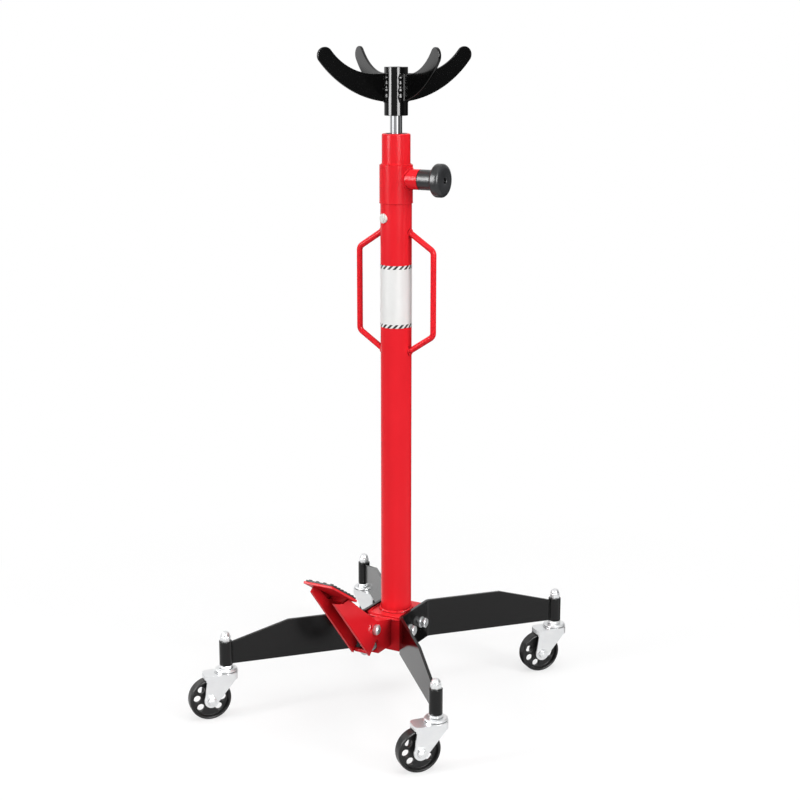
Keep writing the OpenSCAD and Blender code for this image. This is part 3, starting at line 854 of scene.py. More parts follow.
@dataclass(frozen=True)
class StripedFilm(Finish):
    """Plain white film with slanted stripes along its upper and lower edge."""

    low: float
    high: float
    band: float
    radius: float
    stripes: int
    black: Colour = (0.012, 0.012, 0.013, 1.0)
    rough: Pair = (0.28, 0.4)

    def surface(self, g: Graph, effects: SharedEffects) -> dict[str, object]:
        """Inputs of the film's shader.

        Args:
            g: Graph of the material.
            effects: Shared node groups.

        Returns:
            Input name to value.
        """
        grain = g.use(effects.grain, Scale=500.0, Broad=30.0)
        split = g.split(g.place())
        height = split["Z"]
        arc = g.product(g.math("ARCTAN2", split["Y"], split["X"]), self.radius)
        pitch = FULL_TURN * self.radius / self.stripes
        phase = g.math("FRACT", g.math("DIVIDE", g.math("SUBTRACT", arc, height), pitch))
        upper = g.math("GREATER_THAN", height, self.high - self.band)
        lower = g.math("LESS_THAN", height, self.low + self.band)
        edge = g.product(g.math("MAXIMUM", upper, lower), g.math("GREATER_THAN", phase, 0.5))
        film = g.mix(grain["Tone"], self.deep, self.colour)
        return {
            "Base Color": g.over(film, (edge, self.black)),
            "Roughness": g.span(grain["Tone"], 0.0, 1.0, *self.rough),
            "Normal": g.bump(grain["Height"], 0.03, 0.0005),
        }


def make_finishes() -> dict[Coat, bpy.types.Material]:
    """Builds every finish.

    Returns:
        Finish to material.
    """
    finishes = {
        Coat.RED: Enamel(
            "gloss_red_enamel", (0.84, 0.019, 0.029, 1.0), (0.80, 0.016, 0.024, 1.0),
            thin=(0.58, 0.02, 0.02, 1.0), shine=0.1,
        ),
        Coat.BLACK: Enamel(
            "gloss_black_enamel", (0.0026, 0.0026, 0.0027, 1.0), (0.0016, 0.0016, 0.0017, 1.0),
            thin=(0.05, 0.05, 0.05, 1.0), gloss=(0.08, 0.14), shine=0.34, dust=0.02,
            # Near-black painted shade in the black paint's recesses.
            dirt=(0.002, 0.002, 0.002, 1.0), peel=0.003,
        ),
        Coat.ZINC: Plate(
            "bright_zinc", (0.86, 0.87, 0.87, 1.0), (0.82, 0.83, 0.84, 1.0),
            rough=(0.30, 0.34), lines=(60.0, 60.0, 160.0), bite=0.005, metal=0.85,
        ),
        Coat.STEEL: Plate(
            "turned_steel", (0.58, 0.58, 0.59, 1.0), (0.40, 0.40, 0.41, 1.0),
            rough=(0.28, 0.42), lines=(300.0, 300.0, 60.0),
        ),
        Coat.CHROME: Plate(
            "ground_chrome", (0.80, 0.81, 0.82, 1.0), (0.72, 0.73, 0.75, 1.0),
            # Light painted shade in the chrome's recesses.
            rough=(0.05, 0.05), lines=(20.0, 20.0, 300.0), bite=0.0, grime=0.3,
        ),
        Coat.BRONZE: Plate(
            "turned_bronze", (0.62, 0.44, 0.20, 1.0), (0.45, 0.30, 0.13, 1.0),
            rough=(0.28, 0.4), lines=(60.0, 60.0, 700.0),
        ),
        Coat.SEAL: Moulded(
            "seal_rubber", (0.022, 0.022, 0.023, 1.0), (0.015, 0.015, 0.016, 1.0),
            scuff=(0.06, 0.06, 0.06, 1.0), rough=(0.55, 0.7), skin=800.0, bite=0.1,
        ),
        Coat.PAD: Moulded(
            "studded_rubber", (0.026, 0.026, 0.027, 1.0), (0.016, 0.016, 0.017, 1.0),
            scuff=(0.10, 0.10, 0.10, 1.0), rough=(0.5, 0.7), skin=600.0, bite=0.25, dust=0.2,
        ),
        Coat.WHEEL: Moulded(
            "wheel_black", (0.010, 0.010, 0.0105, 1.0), (0.007, 0.007, 0.0075, 1.0),
            scuff=(0.05, 0.05, 0.05, 1.0), rough=(0.3, 0.42), skin=900.0, bite=0.06, shine=0.4,
        ),
        Coat.KNOB: Moulded(
            "knob_grey", (0.029, 0.030, 0.032, 1.0), (0.022, 0.023, 0.025, 1.0),
            scuff=(0.08, 0.08, 0.085, 1.0), rough=(0.28, 0.34), skin=1200.0, bite=0.04,
            # Full painted shade, which darkens the hole in the knob's face.
            shine=0.38, grime=1.0,
        ),
        Coat.PLUG: Moulded(
            "plug_pale", (0.80, 0.79, 0.75, 1.0), (0.74, 0.73, 0.69, 1.0),
            scuff=(0.88, 0.87, 0.85, 1.0), rough=(0.3, 0.42), skin=900.0, bite=0.05,
        ),
        Coat.LABEL: StripedFilm(
            "striped_film", (0.83, 0.83, 0.82, 1.0), (0.78, 0.78, 0.77, 1.0),
            low=0.657, high=0.762, band=0.0062, radius=0.0266, stripes=17,
        ),
    }
    effects = SharedEffects()
    return {coat: finish.make(effects) for coat, finish in finishes.items()}


# Workshop and sub-assemblies


class Workshop:
    """Holds the finishes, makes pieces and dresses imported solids."""

    def __init__(self, finishes: dict[Coat, bpy.types.Material]) -> None:
        """Keeps the finishes."""
        self.finishes = finishes

    def dress(self, coat: Coat, *nodes: str) -> None:
        """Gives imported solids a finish.

        Args:
            coat: Finish to give.
            *nodes: Names of the solids.
        """
        for node in nodes:
            solid = frame["nodes"][node]
            solid.data.materials.clear()
            solid.data.materials.append(self.finishes[coat])
            LOG.info("dressed %s in %s", node, coat.value)

    def piece(
        self,
        name: str,
        bm: Mesh,
        body: str,
        coat: Coat,
        *stands_for: str,
        smooth: float = 38.0,
    ) -> bpy.types.Object:
        """Turns a mesh into a piece that rides on a body.

        Args:
            name: Name of the piece.
            bm: Mesh, which is freed.
            body: Body that it moves with.
            coat: Finish.
            *stands_for: Solids that it replaces.
            smooth: Edges below this angle, in degrees, are smooth.

        Returns:
            The piece.
        """
        mesh = bpy.data.meshes.new(name)
        bm.to_mesh(mesh)
        bm.free()
        mesh.polygons.foreach_set("use_smooth", [True] * len(mesh.polygons))
        mesh.set_sharp_from_angle(angle=math.radians(smooth))
        mesh.materials.append(self.finishes[coat])
        thing = bpy.data.objects.new(name, mesh)
        bpy.context.scene.collection.objects.link(thing)
        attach(thing, body)
        if stands_for:
            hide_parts(*stands_for)
        LOG.info("made %s on %s, %d faces", name, body, len(mesh.polygons))
        return thing

    def eased(self, body: str, coat: Coat, bend: float = 0.0, **widths: float) -> None:
        """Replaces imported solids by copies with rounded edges.

        Args:
            body: Body that they belong to.
            coat: Finish.
            bend: Width of the rounding along upright sheet bends, in metres.
            **widths: Solids and the widths of their rounding, in metres.
        """
        for node, width in widths.items():
            self.dress(coat, node)
            copy = eased_copy(node, width, bend)
            thing = self.piece(f"{node}_eased", copy, body, coat, node, smooth=50.0)
            even = thing.modifiers.new("even_faces", "WEIGHTED_NORMAL")
            even.keep_sharp = True
            even.weight = 100


@dataclass
class SubAssembly:
    """Part of the jack, made in a workshop."""

    shop: Workshop

    def build(self) -> None:
        """Makes and dresses the pieces, which each sub-assembly does its own way."""
        raise NotImplementedError


@dataclass
class ColumnHead(SubAssembly):
    """Column tube, collar, head sleeve, valve boss, plug and label."""

    column_r: float = 0.02625
    column_top: float = 0.865
    foot: float = 0.155
    collar_r: float = 0.02775
    collar_top: float = 0.927
    sleeve_r: float = 0.02375
    boss_r: float = 0.0168
    boss_bead: float = 0.0022
    boss_ripples: int = 24
    valve_z: float = 0.904

    def build(self) -> None:
        """Dresses the tubes and lays the welds."""
        tubes = {"column_tube": 0.0005, "valve_boss": 0.0004, "collar": 0.0006}
        self.shop.eased("base", Coat.RED, **tubes, upper_sleeve=0.0006)
        self.shop.dress(Coat.STEEL, "cylinder_tube")
        self.shop.dress(Coat.BRONZE, "gland")
        self.shop.dress(Coat.SEAL, "rod_seal", "wiper")
        self.shop.dress(Coat.LABEL, "label_band")
        self.shop.eased("base", Coat.PLUG, filler_plug=0.0006)
        self.shop.piece("column_welds", self.ring_welds(), "base", Coat.RED)
        self.shop.piece("boss_weld", self.boss_weld(), "base", Coat.RED)

    def ring_welds(self) -> Mesh:
        """Rings at the column's foot and at both steps of the collar.

        Returns:
            The rings' mesh.
        """
        rings = (
            (self.foot + 0.0008, self.column_r + 0.0006, 0.0026, 40),
            (self.column_top - 0.0002, self.column_r + 0.0002, 0.0014, 46),
            (self.collar_top + 0.0002, self.sleeve_r + 0.0003, 0.0014, 44),
        )
        return joined(
            ring_bead(up(height), ring, bead, ripples, float(seed))
            for seed, (height, ring, bead, ripples) in enumerate(rings)
        )

    def boss_weld(self) -> Mesh:
        """Bead where the boss meets the collar's round wall.

        Returns:
            The bead's mesh.
        """
        ring = self.boss_r + 0.0004

        def seat(angle: float) -> float:
            """Distance of the collar's wall at an angle round the boss."""
            return math.sqrt(self.collar_r**2 - (ring * math.sin(angle)) ** 2)

        out = outward(Facing.KNOB, (0.0, 0.0, self.valve_z))
        return ring_bead(out, ring, self.boss_bead, self.boss_ripples, seed=0.7, lift=seat)


@dataclass
class Handles(SubAssembly):
    """Two bent bar handles, welded to the column."""

    column_r: float = 0.02625
    bar_r: float = 0.005
    grip_out: float = 0.0705
    grip_low: float = 0.645
    grip_high: float = 0.787
    slope: float = 0.029
    bend_r: float = 0.011
    bend_steps: int = 10
    sunk: float = 0.0015
    bead: float = 0.0015
    ripples: int = 9

    def build(self) -> None:
        """Makes both bars and their welds."""
        for node, facing in (("handle_front", Facing.KNOB), ("handle_back", Facing.FAR)):
            side = turned(facing.value)
            self.shop.dress(Coat.RED, node)
            self.shop.piece(f"{node}_bar", self.bar(side), "base", Coat.RED, node, smooth=60.0)
            self.shop.piece(f"{node}_welds", self.welds(side), "base", Coat.RED)

    def lean(self) -> float:
        """Angle of the sloping ends below the level, in radians."""
        return math.atan2(self.slope, self.grip_out - self.column_r)

    def bar(self, side: Matrix) -> Mesh:
        """Bar swept out of the column, down the grip and back.

        Args:
            side: Frame whose X axis points out of the column.

        Returns:
            The bar's mesh.
        """
        lean = self.lean()
        bend = math.pi / 2.0 - lean
        reach = self.bend_r * math.tan(bend / 2.0)
        out = Vector((math.cos(lean), 0.0, -math.sin(lean)))
        back = Vector((-out.x, 0.0, out.z))
        inward = Vector((out.z, 0.0, -out.x))
        run = (self.grip_out - self.column_r + self.sunk) / math.cos(lean)
        corner = Vector((self.grip_out, 0.0, self.grip_high))
        down = Vector((0.0, 0.0, self.grip_low - self.grip_high + 2.0 * reach))
        upper = corner - out * reach + inward * self.bend_r
        lower = Vector((self.grip_out - self.bend_r, 0.0, self.grip_low + reach))
        bm = bmesh.new()
        start = Matrix.Translation(corner - out * run) @ lying("Y", 90.0 + math.degrees(lean))
        edges = circle(bm, self.bar_r, 20, start, True)
        for move, centre in ((out * (run - reach), upper), (down, lower)):
            edges = self.straight(bm, edges, move)
            edges = sweep(bm, edges, bend, self.bend_steps, cent=centre, axis=(0.0, 1.0, 0.0))
        edges = self.straight(bm, edges, back * (run - reach))
        bmesh.ops.edgeloop_fill(bm, edges=edges)
        bmesh.ops.remove_doubles(bm, verts=bm.verts, dist=MERGE_DISTANCE)
        return placed(bm, side)

    @staticmethod
    def straight(bm: Mesh, edges: Edges, move: Vector) -> Edges:
        """Draws the open end of the bar along a line.

        Args:
            bm: Bar so far.
            edges: Edges of its open end.
            move: Length and direction.

        Returns:
            Edges of the new open end.
        """
        made = bmesh.ops.extrude_edge_only(bm, edges=edges)["geom"]
        verts = [part for part in made if isinstance(part, bmesh.types.BMVert)]
        bmesh.ops.translate(bm, verts=verts, vec=move)
        return [e for e in edges_of(made) if set(e.verts) <= set(verts)]

    def welds(self, side: Matrix) -> Mesh:
        """Beads round both bar ends at the column.

        Args:
            side: Frame whose X axis points out of the column.

        Returns:
            The beads' mesh.
        """
        half_lean = math.degrees(self.lean()) / 2.0
        ends = ((self.grip_high + self.slope, half_lean), (self.grip_low - self.slope, -half_lean))
        beads = []
        for seed, (height, tilt) in enumerate(ends):
            place = side @ Matrix.Translation((self.column_r + 0.0003, 0.0, height))
            place = place @ lying("Y", 90.0 + tilt)
            ring = self.bar_r + 0.0004
            beads.append(ring_bead(place, ring, self.bead, self.ripples, 1.3 + seed))
        return joined(beads)


@dataclass
class RamSaddle(SubAssembly):
    """Chrome ram with its piston, and the four-armed saddle."""

    hub_r: float = 0.0195
    arm_low: float = 1.0275
    arm_root: float = 0.0465
    arm_t: float = 0.0045
    arm_ease: float = 0.0009
    turn: float = 12.9
    bead: float = 0.0033
    pitch: float = 0.0105
    swell: float = 0.18

    def build(self) -> None:
        """Dresses the ram and makes the saddle's pieces."""
        self.shop.eased("ram", Coat.CHROME, ram_rod=0.0005)
        self.shop.dress(Coat.STEEL, "piston")
        self.shop.dress(Coat.SEAL, "piston_seal")
        arms = dict.fromkeys(("saddle_arms_wide", "saddle_arms_deep"), self.arm_ease)
        self.shop.eased("saddle", Coat.BLACK, saddle_hub=0.0007, **arms)
        self.shop.piece("saddle_welds", self.welds(), "saddle", Coat.BLACK)

    def welds(self) -> Mesh:
        """Upright beads on both sides of each arm.

        Returns:
            The beads' mesh.
        """
        side = self.arm_t / 2.0 + 0.0009
        out = math.sqrt(self.hub_r**2 - side**2) + 0.0006
        beads = []
        for quarter in range(4):
            for way in BOTH_WAYS:
                place = turned(self.turn + 90.0 * quarter, (out, way * side, self.arm_low))
                weld = (self.arm_root, self.bead, self.pitch)
                beads.append(line_bead(place, *weld, quarter + 0.4 * way, self.swell))
        return joined(beads)


@dataclass
class ReleaseValve(SubAssembly):
    """Turned plastic knob and the valve needle behind it."""

    height: float = 0.904
    face: float = 0.0463
    neck_r: float = 0.0168
    neck_end: float = 0.074
    rim_r: float = 0.0275
    rim_ease: float = 0.0026
    front: float = 0.092
    needle_r: float = 0.00405
    dimple_r: float = 0.0045
    dimple_depth: float = 0.006

    def build(self) -> None:
        """Makes the knob and dresses the needle."""
        self.shop.dress(Coat.STEEL, "valve_needle")
        self.shop.dress(Coat.KNOB, "release_knob")
        knob = self.knob()
        self.shop.piece("knob_turned", knob, "knob", Coat.KNOB, "release_knob", smooth=50.0)

    def knob(self) -> Mesh:
        """Knob turned from its profile.

        Returns:
            The knob's mesh.
        """
        profile = (
            (self.needle_r, self.face),
            (self.neck_r, self.face),
            (self.neck_r, self.neck_end - 0.004),
            (self.neck_r + 0.0032, self.neck_end),
            (self.rim_r - self.rim_ease, self.neck_end),
            (self.rim_r, self.neck_end + self.rim_ease),
            (self.rim_r, self.front - 0.0052),
            (self.rim_r - 0.002, self.front - 0.0021),
            (self.rim_r - 0.006, self.front - 0.0001),
            (self.dimple_r + 0.0006, self.front - 0.0007),
            (self.dimple_r, self.front - self.dimple_depth),
            (0.0, self.front - self.dimple_depth),
        )
        return spun(profile, outward(Facing.KNOB, (0.0, 0.0, self.height)), 72, 0.0014)


@dataclass
class LegBase(SubAssembly):
    """Hub box, bent leg plates, posts, bolts and their welds."""

    end_half: float = 0.042
    side_half: float = 0.0335
    seam: float = 0.150
    top: float = 0.155
    leg_z: float = 0.093
    leg_t: float = 0.005
    leg_ease: float = 0.0009
    leg_tip_h: float = 0.036
    leg_bend: float = 0.0485
    post_ring: float = 0.307
    post_r: float = 0.011
    splay: float = 4.0
    bolt_r: float = 0.005
    bolt_flats: float = 0.016
    bolt_side: float = 0.021
    bolt_z: float = 0.128
    head_seat: float = 0.0045
    head_h: float = 0.0064
    head_crown: float = 0.0008
    shank: float = 0.024
    shank_ease: float = 0.0004
    end_bead: float = 0.002
    side_bead: float = 0.0018
    seam_pitch: float = 0.0045
    post_bead: float = 0.0016
    post_pitch: float = 0.0036

    def build(self) -> None:
        """Makes the base's pieces."""
        self.shop.dress(Coat.STEEL, "valve_block")
        self.shop.dress(Coat.ZINC, "leg_washers", "spring_washers", "caster_stems", "leg_bolts")
        self.shop.eased("base", Coat.BLACK, caster_posts=0.0006)
        self.shop.eased("base", Coat.RED, hub_box=0.0012, hub_lid=0.0008)
        legs = dict.fromkeys(("leg_pair_front", "leg_pair_back"), self.leg_ease)
        self.shop.eased("base", Coat.BLACK, bend=0.004, **legs)
        self.shop.piece("leg_bolts_turned", self.bolts(), "base", Coat.ZINC, "leg_bolts")
        self.shop.piece("hub_welds", self.hub_welds(), "base", Coat.RED)
        self.shop.piece("post_welds", self.post_welds(), "base", Coat.BLACK)

    def bolts(self) -> Mesh:
        """Bolts through both leg plates.

        Returns:
            The bolts' mesh.
        """
        parts = []
        for facing in (Facing.KNOB, Facing.FAR):
            for way in BOTH_WAYS:
                offset = (self.side_half + self.leg_t, way * self.bolt_side, self.bolt_z)
                seat = outward(facing, offset)
                head = seat @ up(self.head_seat)
                parts.append(hex_block(head, self.bolt_flats, self.head_h, self.head_crown))
                end, length = seat @ up(-self.shank), self.shank + self.head_seat
                parts.append(rod(end, self.bolt_r, length, self.shank_ease))
        return joined(parts)

    def hub_welds(self) -> Mesh:
        """Beads along the lid's seams.

        Returns:
            The beads' mesh.
        """
        beads = []
        for way in BOTH_WAYS:
            corner = (way * self.end_half, -self.side_half, self.seam)
            run = turned(Facing.HUB.value, corner) @ lying("X", -90.0)
            length = 2.0 * self.side_half
            beads.append(line_bead(run, length, self.end_bead, self.seam_pitch, way))
            run = outward(Facing.HUB, (-self.end_half, way * (self.side_half - 0.0004), self.top))
            length = 2.0 * self.end_half
            beads.append(line_bead(run, length, self.side_bead, self.seam_pitch, 2.0 + way))
        return joined(beads)

    def post_welds(self) -> Mesh:
        """Upright beads where each leg plate meets its post.

        Returns:
            The beads' mesh.
        """
        spread = math.radians(45.0 + self.splay)
        bend = Vector((self.side_half + self.leg_t / 2.0, self.leg_bend))
        post = Vector((math.cos(spread), math.sin(spread))) * self.post_ring
        along = (post - bend).normalized()
        half = self.leg_t / 2.0 + 0.0004
        near = post - along * math.sqrt(self.post_r**2 - half**2)
        across = Vector((-along.y, along.x))
        beads = []
        for facing in (Facing.KNOB, Facing.FAR):
            for mirror in BOTH_WAYS:
                for way in BOTH_WAYS:
                    spot = near + across * (way * half)
                    place = turned(facing.value, (spot.x, mirror * spot.y, self.leg_z))
                    weld = (self.leg_tip_h, self.post_bead, self.post_pitch)
                    beads.append(line_bead(place, *weld, mirror + 0.3 * way))
        return joined(beads)


@dataclass
class Casters(SubAssembly):
    """Four swivel casters with forks, axles, wheels and their nuts."""

    ring: float = 0.307
    trail: float = 0.030
    axle_z: float = 0.036
    outer: float = 0.0153
    axle_r: float = 0.004
    axle_flats: float = 0.013
    axle_nut_h: float = 0.0065
    axle_head_h: float = 0.005
    axle_crown: float = 0.0006
    axle_thread: float = 0.009
    post_top: float = 0.1345
    cap_flats: float = 0.0162
    cap_h: float = 0.0096
    cap_crown: float = 0.0008
    dome_r: float = 0.007614
    dome_sunk: float = 0.0005
    jam_flats: float = 0.021
    jam_z: float = 0.0865
    jam_h: float = 0.006
    jam_crown: float = 0.0007
    race_r: float = 0.0192
    race_z: float = 0.0819
    thrust_r: float = 0.0204
    thrust_z: float = 0.0803
    stem_r: float = 0.00605

    def build(self) -> None:
        """Makes the casters' pieces."""
        for corner in Corner:
            self.swivel(corner)
        posts = [corner.post(self.ring) for corner in Corner]
        caps = joined(self.cap_nut(post) for post in posts)
        jam = (self.jam_flats, self.jam_h, self.jam_crown)
        jams = joined(hex_block(post @ up(self.jam_z), *jam) for post in posts)
        cups = joined(self.swivel_cup(post) for post in posts)
        races = ("swivel_races", "thrust_washers")
        self.shop.dress(Coat.ZINC, "acorn_nuts", "jam_nuts", *races)
        self.shop.piece("cap_nuts_turned", caps, "base", Coat.ZINC, "acorn_nuts")
        self.shop.piece("jam_nuts_turned", jams, "base", Coat.ZINC, "jam_nuts")
        self.shop.piece("swivel_cups", cups, "base", Coat.ZINC, *races)

    def swivel(self, corner: Corner) -> None:
        """Makes one caster's fork, axle and wheel.

        Args:
            corner: Which caster.
        """
        body, axle = f"caster_{corner.label}", f"axle_{corner.label}"
        self.shop.eased(body, Coat.ZINC, **{f"fork_{corner.label}": 0.0008})
        self.shop.dress(Coat.ZINC, axle)
        self.shop.piece(f"{axle}_bolt", self.axle_bolt(corner), body, Coat.ZINC, axle)
        wheel = f"wheel_{corner.label}"
        self.shop.eased(f"caster_{wheel}", Coat.WHEEL, **{wheel: 0.0012})

    def cap_nut(self, post: Matrix) -> Mesh:
        """Hexagon nut with a domed cap.

        Args:
            post: Frame of the post at the floor.

        Returns:
            The nut's mesh.
        """
        seat = post @ up(self.post_top)
        dome = bmesh.new()
        bmesh.ops.create_uvsphere(dome, u_segments=32, v_segments=16, radius=self.dome_r)
        bmesh.ops.bisect_plane(
            dome,
            geom=dome.verts[:] + dome.edges[:] + dome.faces[:],
            plane_co=(0.0, 0.0, -self.dome_sunk),
            plane_no=(0.0, 0.0, -1.0),
            clear_outer=True,
        )
        bmesh.ops.edgeloop_fill(dome, edges=[e for e in dome.edges if e.is_boundary])
        nut = hex_block(seat, self.cap_flats, self.cap_h, self.cap_crown)
        return joined((nut, placed(dome, seat @ up(self.cap_h))))

    def swivel_cup(self, post: Matrix) -> Mesh:
        """Pressed race and dished cover over the fork's plate.

        Args:
            post: Frame of the post at the floor.

        Returns:
            The cup's mesh.
        """
        low, step, high = self.thrust_z, self.race_z, self.jam_z
        neck = self.race_r - 0.0018
        profile = (
            (self.stem_r, low),
            (self.thrust_r, low),
            (self.thrust_r, step - 0.0003),
            (neck, step),
            (neck, step + 0.0005),
            (self.race_r, step + 0.0011),
            (self.race_r, high - 0.0018),
            (self.race_r - 0.0020, high),
            (self.stem_r, high),
        )
        return spun(profile, post, 64, 0.0004, closed=True)

    def axle_bolt(self, corner: Corner) -> Mesh:
        """Bolt with its nut through the fork.

        Args:
            corner: Which caster.

        Returns:
            The bolt's mesh.
        """
        angle, heading = corner.value
        place = corner.post(self.ring) @ lying("Z", heading - angle)
        place = place @ Matrix.Translation((self.trail, 0.0, self.axle_z)) @ lying("X", -90.0)
        flip = place @ up(-self.outer) @ lying("X", 180.0)
        top = place @ up(self.outer)
        nut = hex_block(top, self.axle_flats, self.axle_nut_h, self.axle_crown)
        head = hex_block(flip, self.axle_flats, self.axle_head_h, self.axle_crown)
        start, length = place @ up(-self.outer - 0.001), 2.0 * self.outer + self.axle_thread
        return joined((nut, head, rod(start, self.axle_r, length, rim=0.0005, sides=32)))


@dataclass
class FootPump(SubAssembly):
    """Pump block with plunger, seal and return spring."""

    height: float = 0.116
    seat: float = 0.0644
    button: float = 0.1067
    coil_r: float = 0.0087
    wire_r: float = 0.0009
    turns: int = 8
    turn_steps: int = 24
    travel: float = 0.019

    def build(self) -> None:
        """Makes the spring and dresses the pump."""
        self.shop.eased("base", Coat.RED, pump_block=0.001)
        self.shop.dress(Coat.SEAL, "plunger_seal")
        self.shop.dress(Coat.STEEL, "pump_plunger", "pump_spring")
        coil = self.shop.piece(
            "return_spring", self.spring(), "plunger", Coat.STEEL, "pump_spring", smooth=70.0
        )
        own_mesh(coil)

    def spring(self) -> Mesh:
        """Wire wound from its seat to the plunger's button.

        Returns:
            The spring's mesh.
        """
        bm = bmesh.new()
        start = Matrix.Translation((self.coil_r, 0.0, self.wire_r)) @ lying("X", 90.0)
        wire = circle(bm, self.wire_r, 10, start, True)
        steps = self.turns * self.turn_steps
        rise = (self.button - self.seat - 2.0 * self.wire_r) / steps
        end = sweep(bm, wire, FULL_TURN * self.turns, steps, dvec=(0.0, 0.0, rise))
        bmesh.ops.edgeloop_fill(bm, edges=end)
        return placed(bm, outward(Facing.PEDAL, (self.seat, 0.0, self.height)))


@dataclass
class Pedal(SubAssembly):
    """Folded pedal arm with its tread, rubber pad and pivot bolt."""

    pivot_out: float = 0.106
    pivot_z: float = 0.154
    pivot_r: float = 0.005
    flats: float = 0.016
    nut_h: float = 0.008
    head_h: float = 0.0064
    crown: float = 0.0008
    thread: float = 0.009
    cheek: float = 0.018
    tread_x: float = 0.180
    tread_z: float = 0.228
    tilt: float = 32.0
    tread_l: float = 0.091
    tread_w: float = 0.054
    tread_t: float = 0.004
    pad_t: float = 0.003
    pad_inset: float = 0.002
    pad_ease: float = 0.0009
    stud_h: float = 0.002
    stud_r: float = 0.003
    stud_grid: tuple[int, int] = (7, 4)
    stud_margin: Pair = (0.009, 0.007)
    stud_sunk: float = 0.0004
    stud_ease: float = 0.0007

    def build(self) -> None:
        """Makes the pedal's pieces."""
        self.shop.eased("pedal", Coat.RED, pedal_arm=0.0009, tread_plate=0.0009)
        self.shop.dress(Coat.RED, "striker_bar")
        self.shop.dress(Coat.PAD, "tread_pad")
        bolt = ("pivot_bolt", "pivot_nut")
        self.shop.dress(Coat.ZINC, *bolt)
        self.shop.piece("studded_pad", self.pad(), "pedal", Coat.PAD, "tread_pad")
        self.shop.piece("pivot_bolt_turned", self.pivot(), "pedal", Coat.ZINC, *bolt)

    def pad(self) -> Mesh:
        """Rubber pad with rows of round studs.

        Returns:
            The pad's mesh.
        """
        face = self.tread_t + self.pad_t
        length, width = self.tread_l - 2.0 * self.pad_inset, self.tread_w - 2.0 * self.pad_inset
        middle = Matrix.Translation((self.tread_l / 2.0, 0.0, face - self.pad_t / 2.0))
        size = Matrix.Diagonal((length, width, self.pad_t, 1.0))
        sheet = bmesh.new()
        bmesh.ops.create_cube(sheet, size=1.0, matrix=middle @ size)
        ease(sheet, sheet.edges[:], self.pad_ease, 3)
        (columns, rows), (end, edge) = self.stud_grid, self.stud_margin
        step = (self.tread_l - 2.0 * end) / (columns - 1)
        row = (self.tread_w - 2.0 * edge) / (rows - 1)
        tall = self.stud_h + self.stud_sunk
        parts = [sheet]
        for i in range(columns):
            for j in range(rows):
                across = (j - (rows - 1) / 2.0) * row
                spot = Matrix.Translation((end + i * step, across, face - self.stud_sunk))
                parts.append(rod(spot, self.stud_r, tall, self.stud_ease, sides=20))
        place = turned(Facing.PEDAL.value, (self.tread_x, 0.0, self.tread_z))
        return placed(joined(parts), place @ lying("Y", -self.tilt))

    def pivot(self) -> Mesh:
        """Pivot bolt with its head on the far side and a nut on the near side.

        Returns:
            The bolt's mesh.
        """
        middle = turned(Facing.PEDAL.value, (self.pivot_out, 0.0, self.pivot_z))
        near, far = middle @ lying("X", -90.0), middle @ lying("X", 90.0)
        nut = hex_block(near @ up(self.cheek), self.flats, self.nut_h, self.crown)
        head = hex_block(far @ up(self.cheek), self.flats, self.head_h, self.crown)
        length = 2.0 * self.cheek + self.thread
        shank = rod(near @ up(-self.cheek), self.pivot_r, length, rim=0.0006)
        return joined((nut, head, shank))


# Studio


@dataclass(frozen=True)
class Softbox:
    """Oblong soft lamp."""

    name: str
    at: Point
    aim: Point
    size: Pair
    power: float
    use: LampUse
    links: bpy.types.Collection | None = None

    def hang(self, scene: bpy.types.Scene) -> None:
        """Puts the lamp in the scene.

        Args:
            scene: Scene that gets the lamp.
        """
        data = bpy.data.lights.new(self.name, "AREA")
        data.shape = "RECTANGLE"
        data.size, data.size_y = self.size
        data.energy = self.power
        thing = bpy.data.objects.new(self.name, data)
        thing.location = self.at
        way = Vector(self.aim) - Vector(self.at)
        thing.rotation_euler = way.to_track_quat("-Z", "Y").to_euler()
        thing.visible_camera = False
        thing.visible_diffuse, thing.visible_glossy = self.use.value
        if self.links is not None:
            thing.light_linking.receiver_collection = self.links
        scene.collection.objects.link(thing)


def linked(name: str, state: str, pieces: Iterable[bpy.types.Object]) -> bpy.types.Collection:
    """Group that a lamp lights alone, or leaves out.

    Args:
        name: Name of the group.
        state: "INCLUDE" or "EXCLUDE".
        pieces: Pieces in the group.

    Returns:
        The group.
    """
    group = bpy.data.collections.new(name)
    for piece in pieces:
        group.objects.link(piece)
    for entry in group.collection_objects:
        entry.light_linking.link_state = state
    return group


